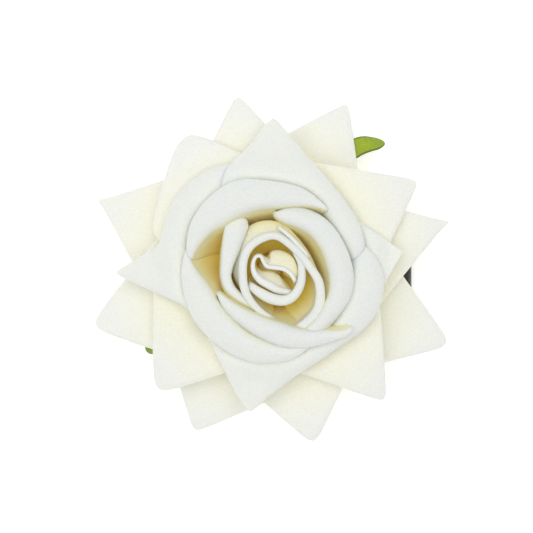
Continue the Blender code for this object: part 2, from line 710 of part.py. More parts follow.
def cup_sheet(parts, cloth):
    shape = bmesh.new()
    directions = [math.radians(petal[0]) for petal in CUP_PETALS]
    radii = [(i / (len(CUP_PROFILE) - 1), point[0]) for i, point in enumerate(CUP_PROFILE)]
    rises = [(i / (len(CUP_PROFILE) - 1), point[1]) for i, point in enumerate(CUP_PROFILE)]
    for petal, bounds in zip(CUP_PETALS, neighbour_bounds(directions)):
        direction, spread = math.radians(petal[0]), math.radians(petal[1])

        def place(u, v, petal=petal, bounds=bounds, direction=direction, spread=spread):
            radius = max(curve_through(radii, v) * CUP_RIM_RADIUS, STEM_HOLE_RADIUS)
            if v == 0:
                radius = STEM_HOLE_RADIUS
            open_share = min(max((radius - NOTCH_RADIUS) / (CUP_RIM_RADIUS - NOTCH_RADIUS), 0.0), 1.0)
            angle = mix(bounds[0], bounds[1], (1 + u) / 2)
            if radius > NOTCH_RADIUS:
                half = mix(math.radians(40), spread, math.sqrt(open_share))
                angle = direction + u * half
                tuck = mix(petal[2], petal[3], (1 + u) / 2)
                radius += CUP_TUCK * tuck * math.sqrt(open_share)
            corner = 0.12 * max(abs(u) - 0.5, 0.0) ** 2 * v
            height = curve_through(rises, v) * CUP_HEIGHT * (1 - corner)
            return Vector((radius * math.cos(angle), radius * math.sin(angle), CUP_Z + height))

        add_patch(shape, 8, 7, place)
    sheet = new_object("cup_petals", patch_mesh("cup_petals", shape, Vector((0, 0, 1))), parts, cloth)
    add_solidify(sheet, PETAL_THICKNESS, 1.0)
    smooth_round(sheet, 50)


def bud_band(name, top_share, columns, points, parts, cloth):
    """One rolled bud petal: an upright band on a plan curve that draws in to the stem towards its foot."""
    path = path_through(points, columns)
    foot = 0.55 if name == "bud_curl" else 0.0
    shape = bmesh.new()

    def place(u, v):
        rise = mix(foot, top_share, v)
        gather = 0.42 + 0.58 * math.sin(rise * math.pi / 2) ** 0.8
        across = path[round((u + 1) / 2 * columns)] - Vector(BUD_CENTRE)
        centre = Vector(BUD_CENTRE) * min(rise * 1.2, 1.0)
        spot = centre + across * gather
        return Vector((spot.x, spot.y, BUD_Z + rise * BUD_HEIGHT))

    add_patch(shape, columns, 3, place)
    band = new_object(name, patch_mesh(name, shape, Vector((0, 0, 1))), parts, cloth)
    add_solidify(band, PETAL_THICKNESS, 0.0)
    smooth_round(band, 50)


def build():
    clear_scene()
    parts = new_collection("flower_hair_clip")
    cutters = new_collection("cutters", hidden=True)
    cloth = new_material("petal_cloth", (0.9, 0.9, 0.84), 0.85)
    green_cloth = new_material("sepal_cloth", (0.33, 0.45, 0.04), 0.8)
    green_plastic = new_material("calyx_plastic", (0.12, 0.26, 0.05), 0.5)
    felt = new_material("felt", (0.85, 0.85, 0.82), 0.95)
    glue = new_material("hot_glue", (0.85, 0.82, 0.7), 0.3)
    plastic = new_material("stem_plastic", (0.8, 0.8, 0.75), 0.5)
    foam = new_material("core_foam", (0.85, 0.83, 0.74), 0.8)
    black = new_material("black_paint", (0.012, 0.012, 0.014), 0.35, 0.3)
    steel = new_material("spring_steel", (0.45, 0.45, 0.46), 0.3, 1.0)

    smooth_round(top_arm(parts, cutters, black))
    smooth_round(lower_arm(parts, cutters, black))
    pivot_pin(parts, steel)
    torsion_spring(parts, steel)
    backing(parts, glue, felt, green_plastic)
    stem_and_core(parts, plastic, foam)
    sepal_star(parts, green_cloth)
    for number, (petals, profile) in enumerate(zip(OUTER_SHEETS, OUTER_PROFILES)):
        outer_sheet(number, petals, profile, parts, cloth)
    cup_sheet(parts, cloth)
    for name, (top_share, columns, points) in BUD_BANDS.items():
        bud_band(name, top_share, columns, points, parts, cloth)


build()
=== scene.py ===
# %% [markdown]
# # A flocked rose on a sprung hair clip
#
# The rose is made as milliners make one: sheets of thin foam cloth are flocked with short
# white fibres, die cut into stars of petals, pressed between hot moulds so that each petal
# keeps its curl, and threaded on a stem pin. A rolled bud fills the middle, green sepals and
# a felt disc close the back, and a black sprung clip is glued under the felt.
#
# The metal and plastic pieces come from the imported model. The cloth is modelled here, sheet
# by sheet, round the same stem and at the same heights.

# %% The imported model
import math

import bpy
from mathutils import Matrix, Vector, noise


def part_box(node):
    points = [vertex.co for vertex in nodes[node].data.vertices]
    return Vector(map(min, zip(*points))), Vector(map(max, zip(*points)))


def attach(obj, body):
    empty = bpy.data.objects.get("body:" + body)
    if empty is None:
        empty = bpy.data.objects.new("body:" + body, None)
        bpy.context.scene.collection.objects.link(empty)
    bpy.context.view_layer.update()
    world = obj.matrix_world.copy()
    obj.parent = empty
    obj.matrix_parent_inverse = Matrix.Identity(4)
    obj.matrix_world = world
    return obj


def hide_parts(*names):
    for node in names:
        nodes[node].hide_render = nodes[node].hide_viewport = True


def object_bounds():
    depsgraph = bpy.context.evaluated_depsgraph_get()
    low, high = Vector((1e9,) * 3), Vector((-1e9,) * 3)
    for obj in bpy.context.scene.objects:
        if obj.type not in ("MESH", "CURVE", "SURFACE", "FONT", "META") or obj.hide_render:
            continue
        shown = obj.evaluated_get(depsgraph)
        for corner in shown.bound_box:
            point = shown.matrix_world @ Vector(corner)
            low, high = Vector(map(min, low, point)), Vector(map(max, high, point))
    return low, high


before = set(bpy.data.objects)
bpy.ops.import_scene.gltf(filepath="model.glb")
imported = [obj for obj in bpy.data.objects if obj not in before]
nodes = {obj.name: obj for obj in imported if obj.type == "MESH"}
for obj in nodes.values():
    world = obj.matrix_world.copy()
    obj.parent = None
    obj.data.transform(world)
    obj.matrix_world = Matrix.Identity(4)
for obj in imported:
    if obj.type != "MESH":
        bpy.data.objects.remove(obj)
cad_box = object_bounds()
MM = 0.001
size = cad_box[1] - cad_box[0]
print(f"The model measures {size.x / MM:.1f} x {size.y / MM:.1f} x {size.z / MM:.1f} mm")

# %% [markdown]
# ## The set
#
# The rose is looked at from straight above, so the camera hangs over it on a long lens, which
# keeps the tips of the petals from spreading away from the heart. The floor is a wide white
# plane. A white sky lights it evenly from all round, and one broad lamp straight above adds
# just enough direction to round the petals and reaches down into the bud.

# %% Camera, floor and light
PICTURE_WIDTH = 135.5 * MM
LOOK_AT = Vector((-0.9 * MM, 0.4 * MM, 20.0 * MM))
CAMERA_RISE = 1.3


def add_camera():
    data = bpy.data.cameras.new("camera")
    data.lens = data.sensor_width * CAMERA_RISE / PICTURE_WIDTH
    camera = bpy.data.objects.new("camera", data)
    camera.location = LOOK_AT + Vector((0, 0, CAMERA_RISE))
    bpy.context.scene.collection.objects.link(camera)
    bpy.context.scene.camera = camera


def add_lamp(name, place, width, watts):
    data = bpy.data.lights.new(name, "AREA")
    data.size = width
    data.energy = watts
    lamp = bpy.data.objects.new(name, data)
    lamp.location = place
    lamp.rotation_euler = (LOOK_AT - Vector(place)).to_track_quat("-Z", "Y").to_euler()
    bpy.context.scene.collection.objects.link(lamp)


def add_sky(colour, strength):
    world = bpy.data.worlds.new("sky")
    world.use_nodes = True
    background = world.node_tree.nodes["Background"]
    background.inputs["Color"].default_value = (*colour, 1.0)
    background.inputs["Strength"].default_value = strength
    bpy.context.scene.world = world


add_camera()
add_sky((1.0, 1.0, 1.0), 0.55)
add_lamp("broad_lamp", (-0.1, 0.1, 1.6), 1.0, 13.4)
bpy.context.scene.view_settings.view_transform = "Standard"
bpy.context.scene.cycles.diffuse_bounces = 10
print("Camera, sky and lamp are up")

# %% [markdown]
# ## Small helpers
#
# The shape of a petal is written down as a few heights and radii, and a smooth curve is drawn
# through them. A smooth random number keeps the petals from looking machined.

# %% Curves and numbers
def mix(a, b, share):
    return a + (b - a) * share


def clamp(x, low=0.0, high=1.0):
    return min(max(x, low), high)


def smooth(x):
    """0 below 0, 1 above 1, and an easy rise between."""
    x = clamp(x)
    return x * x * (3 - 2 * x)


def smooth_min(a, b, blend):
    h = max(blend - abs(a - b), 0.0) / blend
    return min(a, b) - h * h * blend / 4


def curve_through(points, x):
    """The height at x of a smooth curve through points (x, height), straight on past its ends."""
    last = len(points) - 1

    def slope(index):
        before, after = points[max(index - 1, 0)], points[min(index + 1, last)]
        return (after[1] - before[1]) / (after[0] - before[0])

    index = max(i for i in range(last) if i == 0 or points[i][0] <= x)
    (x0, y0), (x1, y1) = points[index], points[index + 1]
    width = x1 - x0
    t = clamp((x - x0) / width)
    start, end = slope(index) * width, slope(index + 1) * width
    height = (2 * t**3 - 3 * t**2 + 1) * y0 + (t**3 - 2 * t**2 + t) * start
    height += (3 * t**2 - 2 * t**3) * y1 + (t**3 - t**2) * end
    return height + max(x - x1, 0.0) * slope(last)


def along_stations(values, t, corner=None):
    """A smooth value at t stations along a list of values, with a sharp change at the corner."""
    numbered = list(enumerate(values))
    if corner is not None:
        numbered = numbered[: corner + 1] if t <= corner else numbered[corner:]
    return curve_through(numbered, t)


def on_circle(radius, angle, height):
    return Vector((radius * math.cos(angle), radius * math.sin(angle), height))


def wander(place, scale, seed=0.0):
    """A smooth random number from about -1 to 1 that stays the same for the same place."""
    return noise.noise(place / scale + Vector((seed, seed, seed)))


print(f"Halfway up a smooth step: {smooth(0.5)}")

# %% [markdown]
# Every sheet is a flat grid first, as it is cut, and each point of the grid is then put where
# the pressed petal has it. The lobes are joined and welded along their hub, and the skin is
# thickened last, so that both faces and the cut edge follow the same curve.

# %% Meshes
def pick_only(*things):
    bpy.ops.object.select_all(action="DESELECT")
    for thing in things:
        thing.select_set(True)
    bpy.context.view_layer.objects.active = things[0]


def cut_grid(name, columns, rows, place):
    """A grid whose points go where place(across, along) says, both from 0 to 1."""
    bpy.ops.object.select_all(action="DESELECT")
    bpy.ops.mesh.primitive_grid_add(x_subdivisions=columns, y_subdivisions=rows, size=2)
    piece = bpy.context.active_object
    piece.name = name
    for vertex in piece.data.vertices:
        vertex.co = place((vertex.co.x + 1) / 2, (vertex.co.y + 1) / 2)
    return piece


def join_pieces(name, pieces):
    pick_only(*pieces)
    if len(pieces) > 1:
        bpy.ops.object.join()
    joined = bpy.context.active_object
    joined.name = name
    joined.data.name = name
    return joined


WELD = 0.002 * MM


def in_edit_mode(piece, *steps):
    """Runs steps, which are (operator of bpy.ops.mesh, its settings), on all of a piece."""
    pick_only(piece)
    bpy.ops.object.mode_set(mode="EDIT")
    bpy.ops.mesh.select_all(action="SELECT")
    for operator, settings in steps:
        operator(**settings)
    bpy.ops.object.mode_set(mode="OBJECT")


def weld(piece):
    together = (bpy.ops.mesh.remove_doubles, {"threshold": WELD})
    outwards = (bpy.ops.mesh.normals_make_consistent, {"inside": False})
    in_edit_mode(piece, together, outwards)


def apply_modifiers(piece):
    pick_only(piece)
    for modifier in list(piece.modifiers):
        bpy.ops.object.modifier_apply(modifier=modifier.name)


def shade(piece, sharp_from=None):
    """Smooth shading all over, or only where faces meet at less than an angle in degrees."""
    pick_only(piece)
    if sharp_from is None:
        bpy.ops.object.shade_smooth()
    else:
        bpy.ops.object.shade_smooth_by_angle(angle=math.radians(sharp_from))


def subdivide(piece, levels):
    modifier = piece.modifiers.new("Smooth", "SUBSURF")
    modifier.levels = levels
    modifier.render_levels = levels


def thicken(piece, thickness, offset):
    """Gives a skin its thickness and rounds its cut edge."""
    modifier = piece.modifiers.new("Thickness", "SOLIDIFY")
    modifier.thickness = thickness
    modifier.offset = offset
    subdivide(piece, 1)
    apply_modifiers(piece)
    shade(piece)


def skin_area(piece):
    """Half the surface of a thickened sheet, which is the area it was cut to."""
    return sum(face.area for face in piece.data.polygons) / 2


def finish_piece(piece, material, slot, body, *stands_for):
    piece.data.materials.clear()
    piece.data.materials.append(material)
    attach(piece, body)
    if stands_for:
        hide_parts(*stands_for)
    print(f"{piece.name}: {len(piece.data.polygons)} faces")


# %% [markdown]
# A material is a chain of nodes. These helpers add one node each and hand back its output, so
# that a finish reads like a sum.

# %% Shader nodes
def add_node(tree, kind, inputs=None, **settings):
    """A node with its settings made, and its inputs linked to a socket or set to a value."""
    node = tree.nodes.new(kind)
    for name, value in settings.items():
        setattr(node, name, value)
    for name, value in (inputs or {}).items():
        if isinstance(value, bpy.types.NodeSocket):
            tree.links.new(value, node.inputs[name])
        else:
            node.inputs[name].default_value = value
    return node


def new_material(name, roughness, metallic=0.0, **shader_values):
    material = bpy.data.materials.new(name)
    material.use_nodes = True
    shader = material.node_tree.nodes["Principled BSDF"]
    shader.inputs["Roughness"].default_value = roughness
    shader.inputs["Metallic"].default_value = metallic
    for socket, value in shader_values.items():
        shader.inputs[socket.replace("_", " ")].default_value = value
    return material, material.node_tree, shader


def math_node(tree, operation, a, b=0.0, c=0.0):
    """One sum. Only MULTIPLY_ADD, which is a * b + c, uses all three values."""
    return add_node(tree, "ShaderNodeMath", {0: a, 1: b, 2: c}, operation=operation).outputs[0]


def mix_colours(tree, share, a, b, blend="MIX"):
    node = add_node(tree, "ShaderNodeMix", {0: share}, data_type="RGBA", blend_type=blend)
    for index, value in ((6, a), (7, b)):
        if isinstance(value, bpy.types.NodeSocket):
            tree.links.new(value, node.inputs[index])
        else:
            node.inputs[index].default_value = (*value, 1.0)
    return node.outputs[2]


def noise_value(tree, vector, scale, detail=2.0, roughness=0.5):
    inputs = {"Vector": vector, "Scale": scale, "Detail": detail, "Roughness": roughness}
    return add_node(tree, "ShaderNodeTexNoise", inputs).outputs["Fac"]


def remap(tree, value, low, high, to_low=0.0, to_high=1.0):
    inputs = {"Value": value, "From Min": low, "From Max": high, "To Min": to_low, "To Max": to_high}
    return add_node(tree, "ShaderNodeMapRange", inputs, clamp=True).outputs["Result"]


def object_place(tree):
    return add_node(tree, "ShaderNodeTexCoord").outputs["Object"]


def connect(tree, shader, colour, height, strength, distance, roughness=None):
    """Links what varies over a surface to its shader: colour, raised grain and roughness."""
    tree.links.new(colour, shader.inputs["Base Color"])
    relief = {"Height": height, "Strength": strength, "Distance": distance}
    normal = add_node(tree, "ShaderNodeBump", relief).outputs["Normal"]
    tree.links.new(normal, shader.inputs["Normal"])
    if roughness is not None:
        tree.links.new(roughness, shader.inputs["Roughness"])


def new_group(name, inputs, outputs):
    """An empty shader group. inputs and outputs are (name, kind of socket) pairs."""
    group = bpy.data.node_groups.new(name, "ShaderNodeTree")
    for socket, kind in inputs:
        group.interface.new_socket(name=socket, in_out="INPUT", socket_type=kind)
    for socket, kind in outputs:
        group.interface.new_socket(name=socket, in_out="OUTPUT", socket_type=kind)
    entry = group.nodes.new("NodeGroupInput")
    leave = group.nodes.new("NodeGroupOutput")
    return group, entry, leave


# %% [markdown]
# ## The floor
#
# A white paper sweep is all but flat, with a faint tooth. It takes the same care as any other
# surface, because the light that it throws back up brightens the undersides of the petals.

# %% Floor
def add_floor():
    bpy.ops.object.select_all(action="DESELECT")
    bpy.ops.mesh.primitive_plane_add(size=6.0)
    floor = bpy.context.active_object
    floor.name = "floor"
    material, tree, shader = new_material("paper", 0.9)
    tooth = noise_value(tree, object_place(tree), 900.0)
    colour = mix_colours(tree, tooth, (0.93, 0.93, 0.93), (0.97, 0.97, 0.97))
    tree.links.new(colour, shader.inputs["Base Color"])
    shader.inputs["Emission Color"].default_value = (1.0, 1.0, 1.0, 1.0)
    shader.inputs["Emission Strength"].default_value = 0.35
    floor.data.materials.append(material)


add_floor()
print("Floor is down")

# %% [markdown]
# ## Flocked cloth
#
# Flock is a coat of fibres about half a millimetre long that stand on glue. Close to, it has a
# fine even grain. From further off it is matt and a little brighter where the light grazes it,
# which the sheen of the shader gives. Short of a coat of real hairs, a fine bump is the grain,
# a slow noise is the unevenness of the coat, and a few grey specks are lint caught in it.

# %% Flock group
def make_flock_group():
    sockets = [("Vector", "NodeSocketVector"), ("Grain Size", "NodeSocketFloat")]
    results = [(result, "NodeSocketFloat") for result in ("Grain", "Mottle", "Specks")]
    group, entry, leave = new_group("flock", sockets, results)
    place, grain_size = entry.outputs["Vector"], entry.outputs["Grain Size"]
    fine = math_node(group, "DIVIDE", 1.0, grain_size)
    grain = noise_value(group, place, fine, 3.0, 0.65)
    group.links.new(grain, leave.inputs["Grain"])
    mottle = noise_value(group, place, 160.0, 3.0, 0.55)
    group.links.new(mottle, leave.inputs["Mottle"])
    cells = add_node(group, "ShaderNodeTexVoronoi", {"Vector": place, "Scale": 330.0})
    near = remap(group, cells.outputs["Distance"], 0.06, 0.02)
    chosen = add_node(group, "ShaderNodeSeparateColor", {"Color": cells.outputs["Color"]})
    rare = math_node(group, "GREATER_THAN", chosen.outputs["Red"], 0.985)
    group.links.new(math_node(group, "MULTIPLY", near, rare), leave.inputs["Specks"])
    return group


FLOCK = make_flock_group()
print("Flock group has", len(FLOCK.nodes), "nodes")

# %% [markdown]
# The foot of each petal is coloured gold and cream. This is partly the dye sprayed on the cloth before
# it
# was pressed, and partly painted shade: the warm shade that light bouncing between the petals gives
# deep in the flower. The UV map of a sheet runs from its foot to its rim, so the colour fades along it.
# Light passes a little way into the thin foam, which takes the hardness off the shadows between petals.

# %% Petal cloth
def petal_cloth(name, heart_end, white_start, heart, cream, white):
    """White flock that deepens to cream and gold towards the foot of the petal: partly dye, partly
    painted shade.
    """
    material, tree, shader = new_material(
        name, 0.82, Sheen_Weight=0.1, Sheen_Roughness=0.5, Specular_IOR_Level=0.2,
        Subsurface_Weight=0.35, Subsurface_Radius=(1.0, 0.85, 0.5), Subsurface_Scale=1.2 * MM
    )
    place = add_node(tree, "ShaderNodeTexCoord")
    along = add_node(tree, "ShaderNodeSeparateXYZ", {"Vector": place.outputs["UV"]}).outputs["Y"]
    flock = add_node(tree, "ShaderNodeGroup", node_tree=FLOCK)
    tree.links.new(place.outputs["Object"], flock.inputs["Vector"])
    flock.inputs["Grain Size"].default_value = 0.5 * MM
    drift = math_node(tree, "MULTIPLY_ADD", flock.outputs["Mottle"], 0.1, -0.05)
    height = math_node(tree, "ADD", along, drift)
    # The gold and cream towards the foot are partly dye and partly painted shade of the crevices
    # between petals.
    low = remap(tree, height, heart_end * 0.55, heart_end)
    high = remap(tree, height, heart_end, white_start)
    colour = mix_colours(tree, low, heart, cream)
    colour = mix_colours(tree, high, colour, white)
    tint = remap(tree, flock.outputs["Grain"], 0.35, 0.65, 0.94, 1.0)
    shade = add_node(tree, "ShaderNodeCombineColor", {"Red": tint, "Green": tint, "Blue": tint})
    colour = mix_colours(tree, 1.0, colour, shade.outputs["Color"], "MULTIPLY")
    lint = math_node(tree, "MULTIPLY", flock.outputs["Specks"], 0.6)
    colour = mix_colours(tree, lint, colour, (0.25, 0.23, 0.2))
    connect(tree, shader, colour, flock.outputs["Grain"], 0.5, 0.15 * MM)
    return material


# The gold and the creams are the colours towards the petals' feet: partly dye and partly painted shade.
WHITE = (0.885, 0.895, 0.85)
COOL_WHITE = (0.835, 0.855, 0.81)
CREAM = (0.945, 0.93, 0.75)
DEEP_CREAM = (0.95, 0.88, 0.5)
BUD_CREAM = (0.95, 0.9, 0.6)
BUD_GOLD = (0.96, 0.87, 0.42)
GOLD_DYE_AND_SHADE = (0.96, 0.80, 0.2)
outer_cloth = petal_cloth("outer_petal_flock", 0.35, 0.8, GOLD_DYE_AND_SHADE, CREAM, WHITE)
rim_cloth = petal_cloth("rim_petal_flock", 0.37, 0.56, GOLD_DYE_AND_SHADE, DEEP_CREAM, COOL_WHITE)
bud_cloth = petal_cloth("bud_petal_flock", 0.36, 0.57, GOLD_DYE_AND_SHADE, BUD_CREAM, COOL_WHITE)
curl_cloth = petal_cloth("curl_petal_flock", 0.36, 0.6, BUD_GOLD, BUD_CREAM, WHITE)
print("Cloths:", [cloth.name for cloth in (outer_cloth, rim_cloth, bud_cloth, curl_cloth)])

# %% [markdown]
# ## The outer sheets
#
# The three backmost sheets are stars of four pointed petals. Each petal is drawn from its tip:
# its two sides run back from the tip at their own angles, the tip is more or less blunt, and
# near the middle of the flower the petal narrows to the uncut hub. Pressing gives the petal a
# hump in the middle of its length, a drop towards the tip, a slight hollow under its sides and
# a narrow rolled edge all round, which is what makes thin cloth look soft.

# %% Sizes of the sheets
CUP_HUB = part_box("cup_petals")[0].z
SHEET_PITCH = 0.7 * MM
PETAL_THICKNESS = 0.5 * MM
STEM_HOLE = 1.2 * MM
HUB_RADIUS = 8.0 * MM
FLOWER_RADIUS = 45.0 * MM
LEAN = 3.0 * MM
EDGE_ROLL = 0.9 * MM
EDGE_TURN = math.radians(105)
OUTER_COLUMNS = 30
OUTER_ROWS = 30
OUTER_HUB_ROWS = 3

# Petals, anticlockwise round the stem: direction in degrees, tip's distance from the stem in mm,
# the angles of its anticlockwise and clockwise sides, and how blunt (or, below 0, drawn out) it is
OUTER_PETALS = {
    "outer_petals_1": (
        (337.0, 48.9, 30.5, 36.0, 1.7),
        (424.8, 45.9, 36.7, 32.5, 0.6),
        (518.5, 47.4, 40.0, 39.2, -1.1),
        (605.2, 45.5, 41.3, 41.0, 0.7),
    ),
    "outer_petals_2": (
        (14.5, 46.9, 30.0, 36.6, -1.5),
        (100.8, 44.1, 36.4, 30.5, 0.9),
        (198.0, 46.6, 35.5, 33.0, 2.3),
        (284.0, 45.2, 38.8, 34.0, 1.3),
    ),
    "outer_petals_3": (
        (30.5, 42.8, 40.0, 34.2, 0.5),
        (122.7, 39.4, 46.0, 31.5, 4.5),
        (227.4, 41.5, 28.6, 41.3, 2.6),
        (311.0, 43.8, 36.4, 29.6, 0.9),
    ),
}
# Side view of each sheet: (share of the flower's radius, rise above the hub in mm)
OUTER_SIDE_VIEWS = {
    "outer_petals_1": ((0.0, 0.0), (0.18, 0.1), (0.36, 0.2), (0.62, -2.3), (0.84, -7.8), (1.09, -15.0)),
    "outer_petals_2": ((0.0, 0.0), (0.18, 0.6), (0.36, 2.6), (0.54, 2.9), (0.76, -0.6), (1.05, -7.8)),
    "outer_petals_3": ((0.0, 0.0), (0.18, 1.2), (0.36, 5.2), (0.52, 7.2), (0.72, 5.0), (0.98, -2.0)),
}


def hub_height(number):
    """Height of the underside of a sheet's hub, the backmost sheet being number 1."""
    return CUP_HUB - (5 - number) * SHEET_PITCH


print("Hubs lie at", [round(hub_height(number) / MM, 2) for number in (1, 2, 3, 4)], "mm")

# %% [markdown]
# ### The shape of an outer petal
#
# A petal's width comes from its two side angles near the tip and from its root near the hub,
# and the lesser of the two wins. Rows crowd towards the tip and columns towards the sides,
# where the curves are tightest. The sheet also leans a little to one side, as glued ones do.

# %% Outline of a petal
FLANK = math.tan(math.radians(43))
ROOT_BLEND = 6 * MM


def lean_at(radius, angle):
    return LEAN * (radius / FLOWER_RADIUS) ** 2 * math.cos(angle)


def hub_bounds(directions):
    """For each direction, halfway to the neighbour before it and to the one after it."""
    bounds = []
    for index, direction in enumerate(directions):
        before = (direction - directions[index - 1]) % (2 * math.pi)
        after = (directions[(index + 1) % len(directions)] - direction) % (2 * math.pi)
        bounds.append((direction - before / 2, direction + after / 2))
    return bounds


def half_width(along, reach, side_angle, blunt):
    """How far a petal's side is from its middle line, at this distance from the stem."""
    from_tip = max(reach - along, 0.0)
    if blunt >= 0:
        spread = math.sqrt(from_tip**2 + 2 * blunt * from_tip)
    else:
        spread = from_tip**2 / (from_tip - blunt)
    width = spread * math.tan(side_angle)
    return max(smooth_min(along * FLANK, width, min(ROOT_BLEND, width + 1e-6)), 0.0)


def rolled(distance, width, roll):
    """Where a point at this distance from the middle line lies once the edge is rolled under.

    The distance is a share of the whole way to the edge, round the roll. Gives (sideways, down).
    """
    roll = min(roll, 0.4 * width)
    flat = width - roll
    past = distance * (flat + roll * EDGE_TURN) - flat
    if past <= 0 or roll < 1e-7:
        return distance * (flat + roll * EDGE_TURN), 0.0
    turn = past / roll
    return flat + roll * math.sin(turn), roll * (1 - math.cos(turn))


# %% Outer petals
SIDE_CROWDING = 1.4
TIP_CROWDING = 1.35
CAMBER, CAMBER_WIDTH = 1.3 * MM, 14 * MM
TIP_DROOP, TIP_LENGTH = 1.1 * MM, 5 * MM
WAVE, WAVE_LENGTH = 0.55 * MM, 11 * MM


def outer_petal_place(petal, bounds, side_view, hub_z, seed):
    direction, reach = math.radians(petal[0]), petal[1] * MM
    angles = (math.radians(petal[3]), math.radians(petal[2]))
    blunt = petal[4] * MM
    side_view = [(share, rise * MM) for share, rise in side_view]

    def place(u, v):
        row = v * OUTER_ROWS
        across = 2 * u - 1
        across = math.sin(across * SIDE_CROWDING) / math.sin(SIDE_CROWDING)
        if row <= OUTER_HUB_ROWS:
            radius = mix(STEM_HOLE, HUB_RADIUS, row / OUTER_HUB_ROWS)
            angle = mix(bounds[0], bounds[1], u)
            height = hub_z + curve_through(side_view, radius / FLOWER_RADIUS)
            return on_circle(radius, angle, height + lean_at(radius, angle))
        past = (row - OUTER_HUB_ROWS) / (OUTER_ROWS - OUTER_HUB_ROWS)
        along = mix(HUB_RADIUS, reach, 1 - (1 - past) ** TIP_CROWDING)
        width = half_width(along, reach, angles[1 if across > 0 else 0], blunt)
        side, drop = rolled(abs(across), width, EDGE_ROLL)
        side = math.copysign(side, across)
        angle = direction + math.atan2(side, along)
        radius = math.hypot(side, along)
        spot = on_circle(radius, angle, 0.0)
        loose = smooth(past * 1.6 - 0.3)
        camber = CAMBER * (side / CAMBER_WIDTH) ** 2 * loose
        tip_droop = TIP_DROOP * clamp(1 - (reach - along) / TIP_LENGTH) ** 2
        wave = WAVE * wander(spot, WAVE_LENGTH, seed) * loose
        z = hub_z + curve_through(side_view, radius / FLOWER_RADIUS) + lean_at(radius, angle)
        spot.z = z - drop - camber - tip_droop + wave
        return spot

    return place


def face_up(piece):
    """Turns a threaded sheet over if the top of its hub faces down."""
    near_stem = [face for face in piece.data.polygons if face.center.xy.length < HUB_RADIUS * 0.8]
    if sum(face.normal.z for face in near_stem) < 0:
        in_edit_mode(piece, (bpy.ops.mesh.flip_normals, {}))


def outer_sheet(number):
    name = f"outer_petals_{number}"
    petals = OUTER_PETALS[name]
    directions = [math.radians(petal[0]) for petal in petals]
    lobes = []
    for index, (petal, bounds) in enumerate(zip(petals, hub_bounds(directions))):
        seed = 7.3 * number + index
        place = outer_petal_place(petal, bounds, OUTER_SIDE_VIEWS[name], hub_height(number), seed)
        lobes.append(cut_grid(f"lobe_{index}", OUTER_COLUMNS, OUTER_ROWS, place))
    sheet = join_pieces(f"petal_sheet_{number}", lobes)
    weld(sheet)
    face_up(sheet)
    thicken(sheet, PETAL_THICKNESS, 1.0)
    finish_piece(sheet, outer_cloth, "petal_flock", "flower", name)


for number in (1, 2, 3):
    outer_sheet(number)

# %% [markdown]
# ## Sheets with rolled rims
#
# The front sheet of the star and the cup round the bud were pressed deeper. Their petals stand
# up from the hub as a wall, turn over at a crest and come down outside as a broad soft roll.
# Such a petal is written down as stations along its rim, each with the radius where the wall
# stands, the radius of the outer edge, and the heights of the crest and of the edge. Some of
# the petals of the front sheet still end in a point, so the rim has one sharp station there.

# %% Rims
RIM_HUB_ROWS = 2
RIM_WALL_ROWS = 9
RIM_LIP_ROWS = 15
RIM_ROWS = RIM_HUB_ROWS + RIM_WALL_ROWS + RIM_LIP_ROWS
COLUMNS_PER_STATION = 5
LIP_TURN = math.radians(132)
RIDGE_DROP = 2.2 * MM
RIDGE_WIDTH = 5.0 * MM
# Share of the rim's rows, and of its width, that rise from the wall to the crest
RISE_ROWS = 0.35
RISE_WIDTH, RISE_MOST = 0.42, 2.6 * MM
# How far past a petal's ends its edge runs, as a share of the first interval, and how far down in mm
RUNS_DOWN = ((0.3, 2.0), (0.42, 7.0))
BULGE, BULGE_LENGTH = 0.3 * MM, 9 * MM
RIPPLE, RIPPLE_LENGTH = 0.35 * MM, 12 * MM


def bezier(a, b, c, d, t):
    s = 1 - t
    return s**3 * a + 3 * s * s * t * b + 3 * s * t * t * c + t**3 * d


def with_ends(stations):
    """The stations, and two more past each end, where the petal's edge runs down."""
    def down(station, neighbour, share, fall):
        angle, inner, outer, crest, edge, roll = station
        middle = (inner + outer) / 2
        angle += (station[0] - neighbour[0]) * share
        return (angle, middle, middle + 0.3, crest - fall, edge - fall, roll)

    start = [down(stations[0], stations[1], *run) for run in reversed(RUNS_DOWN)]
    end = [down(stations[-1], stations[-2], *run) for run in RUNS_DOWN]
    return (*start, *stations, *end)


